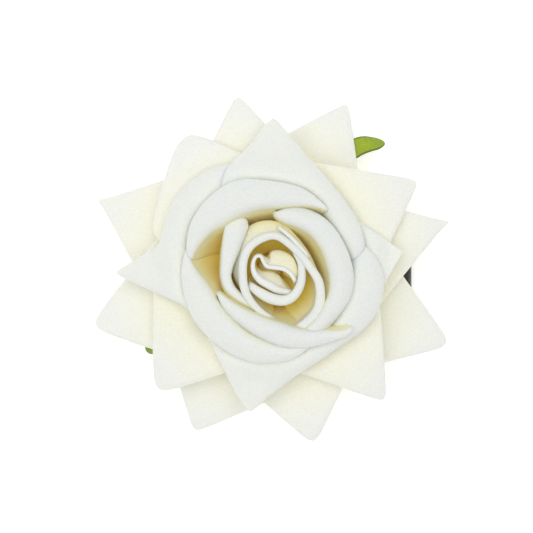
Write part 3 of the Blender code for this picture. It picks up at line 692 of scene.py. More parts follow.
def rim_petal_place(stations, corner, bounds, hub_z, leaning, seed):
    last = len(stations) - 1

    def place(u, v):
        t = u * last
        row = v * RIM_ROWS
        at = [along_stations([s[i] for s in stations], t, corner) for i in range(6)]
        rim_angle, inner, outer, crest, edge = math.radians(at[0]), *(x * MM for x in at[1:5])
        roll = clamp(at[5])
        hub_angle = mix(bounds[0], bounds[1], u)
        width = max(outer - inner, 0.2 * MM)
        inside = min(RISE_WIDTH * width, RISE_MOST)
        wall_top = crest - inside * 0.9
        angle = rim_angle
        if row <= RIM_HUB_ROWS:
            angle = hub_angle
            radius, z = mix(STEM_HOLE, HUB_RADIUS, row / RIM_HUB_ROWS), hub_z
        elif row <= RIM_HUB_ROWS + RIM_WALL_ROWS:
            share = (row - RIM_HUB_ROWS) / RIM_WALL_ROWS
            angle = mix(hub_angle, rim_angle, smooth(share))
            rise = wall_top - hub_z
            shoulder = mix(HUB_RADIUS, inner, 0.4)
            radius = bezier(HUB_RADIUS, shoulder, mix(shoulder, inner, 0.5), inner, share)
            z = bezier(hub_z, hub_z + 0.1 * rise, hub_z + 0.55 * rise, wall_top, share)
        else:
            share = (row - RIM_HUB_ROWS - RIM_WALL_ROWS) / RIM_LIP_ROWS
            if share < RISE_ROWS:
                turn = share / RISE_ROWS * math.pi / 2
                radius = inner + inside * (1 - math.cos(turn))
                z = wall_top + (crest - wall_top) * math.sin(turn)
            else:
                past = (share - RISE_ROWS) / (1 - RISE_ROWS)
                reach = width - inside
                turn = past * LIP_TURN
                band = Vector((reach * math.sin(turn), (crest - edge) * (1 - math.cos(turn))))
                ridge = min(RIDGE_DROP, crest - edge)
                fall = ridge * smooth(past * reach / RIDGE_WIDTH) + (crest - edge - ridge) * past**1.3
                across = Vector((reach * past, fall)).lerp(band, roll)
                radius = inner + inside + across.x
                z = crest - across.y
        spot = on_circle(radius, angle, z)
        loose = smooth((z - hub_z) / (10 * MM))
        bulge = BULGE * wander(spot, BULGE_LENGTH, seed) * loose
        spot.xy *= 1 + bulge / max(radius, 1 * MM)
        spot.z += RIPPLE * wander(spot, RIPPLE_LENGTH, seed + 3.1) * loose
        if leaning:
            spot.z += lean_at(radius, angle)
        return spot

    return place


def rim_sheet(name, stands_for, petals, directions, hub_z, leaning, seed):
    lobes = []
    bounds = hub_bounds([math.radians(direction) for direction in directions])
    for index, ((corner, stations), bound) in enumerate(zip(petals, bounds)):
        stations = with_ends(stations)
        corner = None if corner is None else corner + 2
        place = rim_petal_place(stations, corner, bound, hub_z, leaning, seed + index)
        columns = (len(stations) - 1) * COLUMNS_PER_STATION
        lobes.append(cut_grid(f"lobe_{index}", columns, RIM_ROWS, place))
    sheet = join_pieces(name, lobes)
    weld(sheet)
    face_up(sheet)
    thicken(sheet, PETAL_THICKNESS, 1.0)
    finish_piece(sheet, rim_cloth, "petal_flock", "flower", stands_for)


print(f"A rim has {RIM_ROWS} rows of faces from hub to edge")

# %% [markdown]
# ### The front sheet of the star
#
# Its four petals are the four points of a star with softly rolled sides. A roll of 1 turns the
# edge right under, and a roll of 0 leaves it flat, as it is at the points.

# %% Front sheet
# Stations: direction in degrees, wall radius, edge radius, crest height, edge height in mm, roll
FRONT_RIGHT = (
    3,
    (
        (-24, 23.6, 26.5, 29.0, 28.6, 0.3),
        (-11.3, 23.4, 28.6, 29.4, 28.4, 0.2),
        (-1.4, 23.2, 30.8, 29.6, 28.0, 0.1),
        (6.9, 23.0, 33.9, 29.8, 27.2, 0.0),
        (15, 23.0, 29.6, 29.7, 28.0, 0.2),
        (23, 23.0, 26.2, 29.5, 28.4, 0.4),
        (31, 23.2, 24.3, 29.2, 28.8, 0.6),
    ),
)
FRONT_TOP = (
    7,
    (
        (4, 20.8, 22.2, 33.5, 33.0, 1.0),
        (12, 19.6, 23.8, 35.0, 33.0, 1.0),
        (25, 18.8, 24.6, 36.0, 33.0, 1.0),
        (40, 18.9, 24.9, 36.4, 33.2, 1.0),
        (52, 19.6, 25.8, 36.4, 33.0, 0.9),
        (63, 20.7, 27.6, 36.2, 32.2, 0.6),
        (76, 21.0, 31.2, 36.0, 30.8, 0.2),
        (88.9, 21.2, 38.2, 35.8, 28.2, 0.0),
        (99.5, 21.6, 31.4, 35.6, 30.6, 0.2),
        (109, 21.9, 28.4, 35.4, 32.2, 0.3),
        (116, 22.0, 26.4, 35.2, 33.4, 0.5),
        (121, 22.3, 24.2, 34.8, 33.8, 0.7),
    ),
)
FRONT_LEFT = (
    9,
    (
        (97, 23.0, 25.0, 30.4, 29.8, 1.0),
        (105, 22.8, 26.8, 31.8, 30.4, 1.0),
        (113, 22.4, 27.8, 33.6, 31.2, 1.0),
        (122, 22.0, 28.7, 34.8, 31.8, 1.0),
        (135, 22.0, 29.3, 35.4, 32.2, 1.0),
        (149, 22.0, 29.1, 35.6, 32.2, 1.0),
        (160, 21.4, 28.6, 35.6, 32.0, 1.0),
        (168.5, 20.9, 28.9, 35.4, 31.6, 0.7),
        (175.5, 20.7, 33.5, 35.2, 30.4, 0.2),
        (181.7, 20.7, 39.5, 35.0, 28.3, 0.0),
        (190, 20.8, 31.0, 34.6, 30.2, 0.2),
        (199, 21.0, 25.3, 34.2, 31.8, 0.4),
        (207, 21.4, 22.6, 33.5, 32.8, 0.6),
    ),
)
FRONT_BOTTOM = (
    2,
    (
        (233, 22.6, 23.8, 33.0, 32.4, 0.6),
        (246, 21.8, 28.2, 34.2, 31.8, 0.3),
        (262.1, 21.2, 37.0, 34.8, 28.4, 0.0),
        (270, 21.0, 32.3, 35.0, 30.4, 0.2),
        (281, 20.8, 28.4, 35.2, 31.8, 0.5),
        (293, 20.6, 26.2, 35.4, 32.4, 0.9),
        (312, 20.4, 26.0, 35.6, 32.6, 1.0),
        (329, 20.2, 28.0, 35.6, 32.6, 1.0),
        (341, 20.0, 29.0, 35.6, 32.6, 1.0),
        (354, 20.0, 28.5, 35.2, 32.4, 1.0),
        (363, 20.2, 27.0, 34.8, 32.4, 1.0),
        (371, 20.8, 24.6, 33.8, 32.4, 1.0),
        (377, 21.6, 22.8, 33.0, 32.4, 1.0),
    ),
)
FRONT_PETALS = (FRONT_RIGHT, FRONT_TOP, FRONT_LEFT, FRONT_BOTTOM)
FRONT_POINTS = (6.9, 89.0, 181.7, 262.0)
rim_sheet("petal_sheet_4", "outer_petals_4", FRONT_PETALS, FRONT_POINTS, hub_height(4), True, 40.0)

# %% [markdown]
# ### The cup
#
# The cup's four petals have no points. Each one overlaps the next like the blades of a shutter,
# and their tall walls close round the bud, deep in golden shade.

# %% Cup
CUP_RIGHT = (
    None,
    (
        (-58, 17.9, 19.4, 40.0, 38.6, 1.0),
        (-49, 17.5, 20.2, 40.8, 38.4, 1.0),
        (-32, 16.7, 20.5, 41.2, 38.4, 1.0),
        (-19, 16.0, 20.9, 41.5, 38.5, 1.0),
        (-5, 15.1, 20.5, 41.6, 38.6, 1.0),
        (8, 14.3, 19.8, 41.7, 38.7, 1.0),
        (27, 13.6, 18.6, 41.7, 38.8, 1.0),
        (42, 13.2, 18.0, 41.7, 38.9, 1.0),
        (53, 12.8, 17.4, 41.6, 38.9, 1.0),
        (63, 12.5, 16.6, 41.4, 39.1, 1.0),
        (73, 12.4, 15.4, 40.9, 39.2, 1.0),
        (82, 13.2, 14.0, 40.0, 39.4, 1.0),
    ),
)
CUP_TOP = (
    None,
    (
        (51, 20.0, 20.6, 39.5, 38.8, 1.0),
        (66, 17.3, 21.0, 41.0, 38.8, 1.0),
        (80, 15.6, 21.2, 41.6, 38.8, 1.0),
        (95, 15.2, 21.8, 41.8, 38.8, 1.0),
        (109, 15.1, 23.0, 41.8, 38.8, 1.0),
        (122, 15.3, 23.3, 41.7, 38.7, 1.0),
        (136, 15.9, 23.0, 41.4, 38.5, 1.0),
        (150, 17.6, 22.5, 40.8, 38.3, 1.0),
        (161, 18.8, 21.6, 39.8, 37.8, 1.0),
        (169, 19.6, 20.8, 38.4, 37.4, 1.0),
        (173, 19.9, 20.3, 37.2, 36.8, 1.0),
    ),
)
CUP_LEFT = (
    None,
    (
        (171, 20.9, 21.4, 37.6, 37.0, 1.0),
        (177, 19.9, 21.6, 38.6, 37.0, 1.0),
        (185, 18.0, 21.9, 39.4, 37.2, 1.0),
        (197, 16.2, 22.2, 40.1, 37.4, 1.0),
        (212, 15.6, 22.6, 40.4, 37.4, 1.0),
        (232, 16.0, 23.0, 40.4, 37.4, 1.0),
        (251, 17.1, 23.4, 40.2, 37.3, 1.0),
        (267, 18.6, 23.5, 39.8, 37.2, 1.0),
        (281, 20.2, 23.2, 39.2, 37.2, 1.0),
        (295, 21.3, 21.8, 38.2, 37.4, 1.0),
    ),
)
CUP_BOTTOM = (
    None,
    (
        (209, 14.1, 14.4, 39.8, 39.4, 1.0),
        (219, 13.2, 14.9, 40.6, 39.4, 1.0),
        (232, 12.6, 15.3, 41.2, 39.2, 1.0),
        (246, 12.4, 15.9, 41.6, 39.2, 1.0),
        (262, 12.7, 17.3, 41.8, 39.0, 1.0),
        (280, 14.0, 19.8, 41.8, 38.9, 1.0),
        (295, 16.9, 21.5, 41.5, 38.8, 1.0),
        (309, 20.4, 23.3, 40.6, 38.6, 1.0),
        (320, 24.5, 25.2, 39.2, 38.6, 1.0),
    ),
)
CUP_PETALS = (CUP_RIGHT, CUP_TOP, CUP_LEFT, CUP_BOTTOM)
CUP_MIDDLES = (15, 112, 205, 290)
rim_sheet("cup_sheet", "cup_petals", CUP_PETALS, CUP_MIDDLES, CUP_HUB, False, 50.0)

# %% [markdown]
# ## The bud
#
# Five petals are rolled round the foam core. Each is a band that stands on its foot, follows a
# line in plan and turns over at the top in a narrow lip. The outermost one is folded over
# inwards at its start, the innermost one ends in a tiny tube, and of one of them only a narrow
# edge shows.

# %% Bud stations
# Stations: x, y, crest height, width of the lip, drop of its edge, belly of the wall, in mm. Lip and
# belly are positive to the left of the way along. The belly is how far the wall leans out below
BUD_PETALS = {
    "bud_wrap": (
        (-10.8, 12.8, 38.2, 4.2, 1.8, -0.3),
        (-10.9, 11.6, 39.0, 5.5, 2.2, -0.4),
        (-11.2, 10.0, 39.5, 5.4, 2.2, -0.5),
        (-11.6, 7.6, 39.9, 5.0, 2.0, -0.6),
        (-11.9, 4.2, 40.1, 4.1, 1.6, -0.8),
        (-12.1, 0.8, 40.2, 2.9, 1.2, -0.8),
        (-12.1, -2.2, 40.2, 2.3, 1.0, -0.8),
        (-11.1, -5.2, 40.0, 2.2, 1.0, -1.0),
        (-8.8, -7.4, 39.6, 1.8, 0.9, -1.8),
        (-5.8, -9.2, 39.2, 1.4, 0.9, -1.6),
        (-2.6, -11.2, 38.6, 1.0, 0.9, -1.0),
        (0.2, -13.2, 37.8, 0.8, 0.8, -0.4),
    ),
    "bud_spiral": (
        (0.8, -12.4, 38.0, 1.0, 0.9, 0.2),
        (-2.0, -10.4, 39.4, 1.3, 1.0, 0.2),
        (-4.3, -7.8, 40.4, 1.6, 1.0, 0.3),
        (-5.6, -4.8, 40.9, 1.8, 1.0, 2.2),
        (-6.0, -1.2, 41.1, 1.8, 1.2, 3.6),
        (-5.7, 2.2, 41.2, 1.8, 1.4, 4.0),
        (-4.2, 5.0, 41.2, 1.8, 1.4, 5.0),
        (-1.4, 6.8, 41.2, 1.8, 1.4, 5.2),
        (1.4, 7.3, 41.2, 1.6, 1.4, 4.6),
        (4.4, 5.4, 41.2, 1.5, 1.2, 3.8),
        (7.4, 2.4, 41.2, 1.6, 1.0, 3.2),
        (9.5, -0.5, 41.0, 1.7, 1.0, 2.6),
        (11.2, -3.4, 40.9, 1.9, 1.0, 2.0),
        (11.6, -6.8, 40.7, 2.1, 1.0, 1.4),
        (10.9, -10.0, 40.4, 2.4, 1.1, 0.9),
        (9.0, -12.4, 39.8, 2.5, 1.2, 0.4),
        (6.6, -14.4, 38.8, 1.8, 1.1, 0.2),
    ),
    "bud_edge": (
        (1.9, 10.0, 39.2, 0.6, 0.5, 0.4),
        (3.0, 9.2, 40.0, 0.6, 0.5, 0.4),
        (5.2, 7.3, 40.4, 0.6, 0.5, 0.4),
        (7.4, 5.0, 40.4, 0.6, 0.5, 0.4),
        (9.2, 2.7, 40.0, 0.6, 0.5, 0.3),
    ),
    "bud_inner": (
        (6.0, 3.4, 39.2, 1.0, 1.0, 0.3),
        (7.0, 1.4, 40.0, 1.4, 1.0, 0.3),
        (7.2, -1.2, 40.5, 1.6, 1.0, 0.5),
        (6.8, -3.8, 40.8, 1.8, 1.0, 1.4),
        (5.4, -6.1, 40.8, 2.0, 1.2, 2.4),
        (3.4, -7.0, 40.6, 2.3, 1.2, 2.8),
        (0.6, -6.5, 40.2, 2.4, 1.2, 2.0),
        (-2.2, -5.2, 39.8, 2.1, 1.0, 0.8),
        (-4.7, -3.7, 39.0, 1.4, 1.0, 0.3),
    ),
    "bud_curl": (
        (5.2, -5.6, 37.4, 1.0, 0.8, 0.3),
        (3.6, -5.3, 38.2, 1.3, 0.8, -0.8),
        (1.9, -4.6, 38.8, 1.6, 0.9, -2.0),
        (0.0, -3.5, 39.2, 1.7, 0.9, -2.2),
        (-2.2, -2.4, 39.5, 1.4, 0.8, -1.2),
        (-3.6, -0.9, 39.8, 1.0, 0.8, -0.3),
        (-4.0, 1.0, 40.0, 0.7, 0.8, 0.3),
        (-3.5, 2.6, 40.0, 0.5, 0.8, 0.3),
        (-2.5, 2.8, 40.0, 0.5, 0.8, 0.5),
        (-1.9, 1.6, 39.9, 0.6, 0.8, 1.4),
        (-0.9, 0.2, 39.8, 0.7, 0.8, 3.0),
        (1.1, -0.2, 39.7, 0.8, 0.8, 4.4),
        (3.4, -0.6, 39.5, 0.8, 0.8, 4.2),
        (5.1, -1.8, 39.2, 0.7, 0.8, 2.6),
        (6.0, -3.4, 38.6, 0.6, 0.7, 0.8),
    ),
}
# Where the gathered foot of a petal is: its height in mm, and its share of the petal's size in plan
BUD_FEET = {
    "bud_wrap": (24.5, 0.42),
    "bud_spiral": (24.5, 0.42),
    "bud_edge": (30.2, 0.9),
    "bud_inner": (24.5, 0.42),
    "bud_curl": (31.8, 0.72),
}
print({name: len(stations) for name, stations in BUD_PETALS.items()}, "stations")

# %% [markdown]
# ### Rolling the bud
#
# The wall of a bud petal rises from a foot that is gathered round the core, swells at its belly
# and comes back to its line at the top. The lip then turns over the line to one side.

# %% Bud petals
BUD_CENTRE = Vector((1.3 * MM, -1.8 * MM))
BUD_WALL_ROWS = 12
BUD_LIP_ROWS = 10
BUD_ROWS = BUD_WALL_ROWS + BUD_LIP_ROWS
BUD_LIP_TURN = math.radians(168)
BELLY_AT = 0.7
END_RUN, END_FALL = 0.25, 3.5
LOOK_ALONG = 0.05


def bud_ends(stations):
    """The stations, and one more past each end, where the petal's side edge runs down."""
    def down(station, neighbour):
        x, y, crest, lip, drop, belly = station
        x += (x - neighbour[0]) * END_RUN
        y += (y - neighbour[1]) * END_RUN
        return (x, y, crest - END_FALL, lip * 0.25, drop, belly * 0.5)

    return (down(stations[0], stations[1]), *stations, down(stations[-1], stations[-2]))


def bud_petal_place(stations, foot, gathered):
    last = len(stations) - 1

    def at(index, t):
        return along_stations([station[index] for station in stations], t)

    def plan(t):
        return Vector((at(0, t), at(1, t)))

    def place(u, v):
        t = u * last
        crest, lip, drop, belly = (at(index, t) * MM for index in (2, 3, 4, 5))
        way = (plan(min(t + LOOK_ALONG, last)) - plan(max(t - LOOK_ALONG, 0))).normalized()
        leftward = Vector((-way.y, way.x))
        point = plan(t) * MM
        row = v * BUD_ROWS
        shoulder = min(0.4 * abs(lip), 0.8 * MM)
        if row <= BUD_WALL_ROWS:
            share = row / BUD_WALL_ROWS
            drawn_in = mix(gathered, 1.0, math.sin(share * math.pi / 2) ** 0.8)
            spot = BUD_CENTRE * clamp(share * 1.2) + (point - BUD_CENTRE) * drawn_in
            swell = share / BELLY_AT if share < BELLY_AT else (1 - share) / (1 - BELLY_AT)
            spot += leftward * belly * smooth(swell)
            z = mix(foot, crest - shoulder, share)
        else:
            turn = (row - BUD_WALL_ROWS) / BUD_LIP_ROWS * BUD_LIP_TURN
            spot = point + leftward * lip * (1 - math.cos(turn)) / 2
            fall = shoulder if turn < math.pi / 2 else drop
            z = crest - fall * (1 - math.sin(turn))
        place_at = Vector((spot.x, spot.y, z))
        place_at.z += 0.2 * MM * wander(place_at, 6 * MM, 3.0)
        return place_at

    return place


def bud_petal(name):
    foot, gathered = BUD_FEET[name]
    stations = bud_ends(BUD_PETALS[name])
    columns = (len(stations) - 1) * COLUMNS_PER_STATION
    place = bud_petal_place(stations, foot * MM, gathered)
    petal = cut_grid(f"{name}_petal", columns, BUD_ROWS, place)
    weld(petal)
    thicken(petal, PETAL_THICKNESS, 0.0)
    stands_for = "bud_spiral" if name == "bud_edge" else name
    cloth = curl_cloth if name == "bud_curl" else bud_cloth
    finish_piece(petal, cloth, "petal_flock", "flower", stands_for)


for name in BUD_PETALS:
    bud_petal(name)

# %% [markdown]
# ## The sepals
#
# Five narrow sepals, a star die cut from printed green cloth, lie under the petals, and only
# two of their tips show. Each one is a grid like a petal, bent sideways along its length. The
# print follows the cut, so its midrib, side veins and dark edge are drawn with the UV map that
# the grid was made with: across the sepal in X and along it in Y.

# %% Sepals
SEPAL_ROWS = 24
SEPAL_HUB_ROWS = 2
SEPAL_COLUMNS = 12
SEPAL_THICKNESS = 0.4 * MM
SEPAL_HALF_WIDTH = 2.76 * MM
SEPAL_HUB_Z = hub_height(1) - 0.2 * MM - SEPAL_THICKNESS
SEPAL_POINT = 3.1 * MM
GUTTER, GUTTER_WIDTH = 0.35 * MM, 0.5 * MM
# Direction at the root and sideways bend in degrees, length beyond the hub in mm, how late it bends
SEPALS = (
    (60, -12, 35.5, 4.5),
    (130, 6, 26, 1.5),
    (206, 8, 30, 1.5),
    (276, -6, 26, 1.5),
    (345, 5, 24, 1.5),
)
SEPAL_SIDE_VIEW = ((0.0, 0.0), (0.18, 0.0), (0.36, 0.0), (0.62, -2.6), (0.84, -8.2), (1.09, -15.5))


def sepal_place(sepal, bounds):
    direction, reach = math.radians(sepal[0]), HUB_RADIUS + sepal[2] * MM
    side_view = [(share, rise * MM) for share, rise in SEPAL_SIDE_VIEW]

    def place(u, v):
        row = v * SEPAL_ROWS
        if row <= SEPAL_HUB_ROWS:
            radius = mix(STEM_HOLE, HUB_RADIUS, row / SEPAL_HUB_ROWS)
            angle = mix(bounds[0], bounds[1], u)
            return on_circle(radius, angle, SEPAL_HUB_Z)
        past = (row - SEPAL_HUB_ROWS) / (SEPAL_ROWS - SEPAL_HUB_ROWS)
        along = mix(HUB_RADIUS, reach, 1 - (1 - past) ** 1.6)
        from_tip = math.sqrt(max(reach - along, 0.0) * SEPAL_POINT)
        side = (2 * u - 1) * min(SEPAL_HALF_WIDTH, from_tip)
        bend = math.radians(sepal[1]) * ((along - HUB_RADIUS) / (reach - HUB_RADIUS)) ** sepal[3]
        angle = direction + math.atan2(side, along) + bend
        radius = math.hypot(side, along)
        z = SEPAL_HUB_Z + curve_through(side_view, radius / FLOWER_RADIUS) + lean_at(radius, angle)
        gutter = GUTTER * math.exp(-((side / GUTTER_WIDTH) ** 2)) * smooth(past * 2)
        droop = (1.2 * smooth(past * 1.6) + 0.4 * (2 * u - 1) ** 2 * smooth(past * 2)) * MM
        return on_circle(radius, angle, z - gutter - droop)

    return place


print(f"The sepals lie under a hub at {SEPAL_HUB_Z / MM:.2f} mm")

# %% [markdown]
# ### Printed green cloth
#
# The veins are bands of the UV map: one along the middle, and slanting ones from how far along
# and how far aside a point is. Two crossed sines are the weave.

# %% Sepal cloth
LEAF_DARK, LEAF_LIGHT = (0.22, 0.34, 0.045), (0.36, 0.45, 0.016)
VEIN = (0.44, 0.52, 0.05)
CUT_EDGE = (0.06, 0.12, 0.02)


def sepal_cloth():
    material, tree, shader = new_material("sepal_cloth", 0.7, Sheen_Weight=0.1, Specular_IOR_Level=0.35)
    place = add_node(tree, "ShaderNodeTexCoord")
    parts = add_node(tree, "ShaderNodeSeparateXYZ", {"Vector": place.outputs["UV"]}).outputs
    aside = math_node(tree, "ABSOLUTE", math_node(tree, "MULTIPLY_ADD", parts["X"], 2.0, -1.0))
    mottle = noise_value(tree, place.outputs["Object"], 180.0, 3.0)
    weave_x = math_node(tree, "SINE", math_node(tree, "MULTIPLY", parts["X"], 150.0))
    weave_y = math_node(tree, "SINE", math_node(tree, "MULTIPLY", parts["Y"], 900.0))
    weave = math_node(tree, "MULTIPLY", weave_x, weave_y)
    leaf = mix_colours(tree, remap(tree, mottle, 0.35, 0.65), LEAF_DARK, LEAF_LIGHT)
    slant = math_node(tree, "SUBTRACT", math_node(tree, "MULTIPLY", parts["Y"], 22.0), aside)
    stripe = math_node(tree, "PINGPONG", slant, 0.5)
    side_vein = remap(tree, stripe, 0.09, 0.03, 0.0, 0.55)
    midrib = remap(tree, aside, 0.12, 0.05, 0.0, 0.5)
    veins = math_node(tree, "MAXIMUM", side_vein, midrib)
    colour = mix_colours(tree, veins, leaf, VEIN)
    edge = math_node(tree, "MULTIPLY_ADD", mottle, 0.3, aside)
    colour = mix_colours(tree, remap(tree, edge, 0.88, 1.05, 0.0, 0.85), colour, CUT_EDGE)
    height = math_node(tree, "MULTIPLY_ADD", weave, 0.3, veins)
    connect(tree, shader, colour, height, 0.4, 0.1 * MM)
    return material


def make_sepals():
    directions = [math.radians(sepal[0]) for sepal in SEPALS]
    blades = []
    for sepal, bounds in zip(SEPALS, hub_bounds(directions)):
        blades.append(cut_grid("blade", SEPAL_COLUMNS, SEPAL_ROWS, sepal_place(sepal, bounds)))
    star = join_pieces("sepals", blades)
    weld(star)
    face_up(star)
    thicken(star, SEPAL_THICKNESS, 1.0)
    finish_piece(star, sepal_cloth(), "sepal_cloth", "flower", "sepal_star")
    return star


sepals = make_sepals()

# %% [markdown]
# ## Calyx, stem and core
#
# The calyx is a moulded green cup with ribs up its side. It is a turned shape, so its profile
# is drawn as a chain of points and spun round the stem, and the ribs are then pressed into it.
# The core of the bud is a plug of soft foam, turned the same way and left a little lumpy.

# %% Turned shapes
def turned(name, profile, steps):
    """Spins a chain of (radius, height) points, in metres, once round the stem."""
    bpy.ops.object.select_all(action="DESELECT")
    bpy.ops.mesh.primitive_plane_add(size=1 * MM)
    piece = bpy.context.active_object
    piece.name = name
    bpy.ops.object.mode_set(mode="EDIT")
    bpy.ops.mesh.select_all(action="SELECT")
    bpy.ops.mesh.merge(type="CENTER")
    last = Vector((0.0, 0.0, 0.0))
    for index, (radius, height) in enumerate(profile):
        point = Vector((radius, 0.0, height))
        if index == 0:
            bpy.ops.transform.translate(value=point - last)
        else:
            bpy.ops.mesh.extrude_vertices_move(TRANSFORM_OT_translate={"value": point - last})
        last = point
    bpy.ops.mesh.select_all(action="SELECT")
    bpy.ops.mesh.spin(steps=steps, angle=2 * math.pi, center=(0, 0, 0), axis=(0, 0, 1))
    bpy.ops.object.mode_set(mode="OBJECT")
    weld(piece)
    return piece


def in_plan(place):
    return Vector((place.x, place.y, 0.0))


def lumpy(piece, amount, scale, seed):
    """Moves each point a little, so that a soft or poured thing isn't perfectly even."""
    for vertex in piece.data.vertices:
        vertex.co += Vector([wander(vertex.co, scale, seed + axis) for axis in range(3)]) * amount


def grainy_material(name, dark, light, roughness, scale, bump_height, **shader_values):
    """Matt stuff with a mottled colour and a fine raised grain."""
    material, tree, shader = new_material(name, roughness, **shader_values)
    place = object_place(tree)
    slow = noise_value(tree, place, scale * 0.15, 3.0)
    fine = noise_value(tree, place, scale, 3.0, 0.6)
    both = math_node(tree, "MULTIPLY_ADD", slow, 0.7, math_node(tree, "MULTIPLY", fine, 0.3))
    colour = mix_colours(tree, remap(tree, both, 0.35, 0.65), dark, light)
    uneven = remap(tree, slow, 0.3, 0.7, roughness * 0.85, min(roughness * 1.15, 1.0))
    connect(tree, shader, colour, fine, 0.5, bump_height, uneven)
    return material


print("Lathe is ready")

# %% Calyx and core
CALYX_RIBS = 15
calyx_low, calyx_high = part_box("calyx")
calyx_foot, calyx_top = calyx_low.z, calyx_high.z
GREENS = ((0.09, 0.2, 0.035), (0.15, 0.31, 0.06))
green_plastic = grainy_material(
    "calyx_plastic", *GREENS, 0.45, 900.0, 0.03 * MM, Specular_IOR_Level=0.4
)


def make_calyx():
    tall = calyx_top - calyx_foot
    foot, rim = 4.4 * MM, 8.0 * MM
    steep = ((0.0, 0.0), (0.03, 0.06), (0.08, 0.2), (0.14, 0.34))
    flared = ((0.34, 0.46), (0.6, 0.6), (0.85, 0.74))
    wall = [(mix(foot, rim, out), calyx_foot + tall * up) for out, up in (*steep, *flared)]
    lip = [(rim, calyx_top - 0.55 * MM), (rim, calyx_top - 0.12 * MM), (rim - 0.12 * MM, calyx_top)]
    profile = [(STEM_HOLE, calyx_foot), *wall, *lip, (STEM_HOLE, calyx_top), (STEM_HOLE, calyx_foot)]
    calyx = turned("calyx_cup", profile, CALYX_RIBS * 8)
    for vertex in calyx.data.vertices:
        radius = vertex.co.xy.length
        share = (vertex.co.z - calyx_foot) / tall
        if radius > foot * 0.98 and 0.02 < share < 0.8:
            rib = math.cos(CALYX_RIBS * math.atan2(vertex.co.y, vertex.co.x))
            vertex.co.xy *= 1 - 0.18 * MM * (1 - rib) / radius
    shade(calyx, 40)
    finish_piece(calyx, green_plastic, "calyx_plastic", "flower", "calyx")


def make_core():
    low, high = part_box("bud_core")
    tall, wide = high.z - low.z, high.x
    lower = ((0.6, 0.0), (0.8, 0.1), (0.95, 0.25), (1.0, 0.45))
    upper = ((0.95, 0.65), (0.82, 0.82), (0.5, 0.95), (0.0, 1.0))
    outside = [(wide * out, low.z + tall * up) for out, up in (*lower, *upper)]
    socket = low.z + tall * 0.5 + 0.2 * MM
    inside = [(0.0, socket), (STEM_HOLE, socket), (STEM_HOLE, low.z)]
    core = turned("core_plug", [*inside, *outside], 40)
    lumpy(core, 0.12 * MM, 1.8 * MM, 60.0)
    shade(core, 60)
    finish_piece(core, foam, "core_foam", "flower", "bud_core")


foam = grainy_material("core_foam", (0.88, 0.76, 0.4), (0.95, 0.88, 0.6), 0.9, 1500.0, 0.12 * MM)
make_calyx()
make_core()

# %% [markdown]
# The stem is a plain moulded pin that no one sees whole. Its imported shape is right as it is, so
# only its finish changes.

# %% Stem
STEM_SHADES = ((0.68, 0.68, 0.62), (0.8, 0.8, 0.75))
stem_plastic = grainy_material("stem_plastic", *STEM_SHADES, 0.5, 1200.0, 0.02 * MM)
for material_slot in nodes["stem_pin"].material_slots:
    material_slot.material = stem_plastic
print("The stem is", stem_plastic.name)

# %% [markdown]
# ## Felt and glue
#
# The felt disc is pressed fibre cut with scissors, so its edge wanders and is furry. The glue
# under and over it came out of a gun as a clear rod and set as a cloudy film with a round,
# uneven edge. Both start as turned or boxed shapes with extra rings of points to move.

# %% Felt
FELT_PULL = 0.004


def felt_cloth():
    material, tree, shader = new_material("felt_cloth", 0.95, Sheen_Weight=0.3, Specular_IOR_Level=0.15)
    place = object_place(tree)
    twist = {"Vector": place, "Scale": 500.0, "Detail": 2.0}
    twist = add_node(tree, "ShaderNodeTexNoise", twist).outputs["Color"]
    pulled = add_node(tree, "ShaderNodeVectorMath", {0: twist, "Scale": FELT_PULL}, operation="SCALE")
    bent = {0: place, 1: pulled.outputs[0]}
    bent = add_node(tree, "ShaderNodeVectorMath", bent, operation="ADD").outputs[0]
    fibres = noise_value(tree, bent, 2600.0, 4.0, 0.7)
    cloudy = noise_value(tree, place, 300.0, 3.0)
    colour = mix_colours(tree, remap(tree, fibres, 0.3, 0.7), (0.7, 0.7, 0.67), (0.88, 0.88, 0.86))
    colour = mix_colours(tree, remap(tree, cloudy, 0.45, 0.75, 0.0, 0.35), colour, (0.72, 0.71, 0.66))
    connect(tree, shader, colour, fibres, 0.8, 0.2 * MM)
    return material


def make_felt():
    low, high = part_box("felt_disc")
    wide, edge = high.x, 0.35 * MM
    top = [(wide * share, high.z) for share in (0.0, 0.25, 0.5, 0.75, 0.9)]
    rim = [(wide - edge, high.z), (wide, high.z - edge), (wide, low.z + edge), (wide - edge, low.z)]
    under = [(wide * share, low.z) for share in (0.9, 0.75, 0.5, 0.25, 0.0)]
    disc = turned("felt_backing", [*top, *rim, *under], 120)
    for vertex in disc.data.vertices:
        radius = vertex.co.xy.length
        if radius > wide * 0.6:
            around = in_plan(vertex.co)
            snip = 0.28 * MM * wander(around, 4 * MM, 70.0)
            snip += 0.12 * MM * wander(around, 0.9 * MM, 71.0)
            vertex.co.xy *= 1 + snip / radius
            vertex.co.z += 0.3 * MM * wander(around, 7 * MM, 72.0) * smooth((radius / wide - 0.6) / 0.4)
    lumpy(disc, 0.05 * MM, 0.8 * MM, 73.0)
    shade(disc)
    finish_piece(disc, felt_cloth(), "felt", "flower", "felt_disc")


make_felt()

# %% [markdown]
# Set hot glue is cloudy: light goes in and comes out nearby, and the skin is smooth and shiny.

# %% Glue
cloudy_glue = grainy_material(
    "hot_glue", (0.72, 0.69, 0.58), (0.88, 0.86, 0.77), 0.28, 500.0, 0.05 * MM,
    Subsurface_Weight=0.5, Subsurface_Radius=(1.0, 0.9, 0.7), Subsurface_Scale=1.0 * MM,
    Coat_Weight=0.3
)


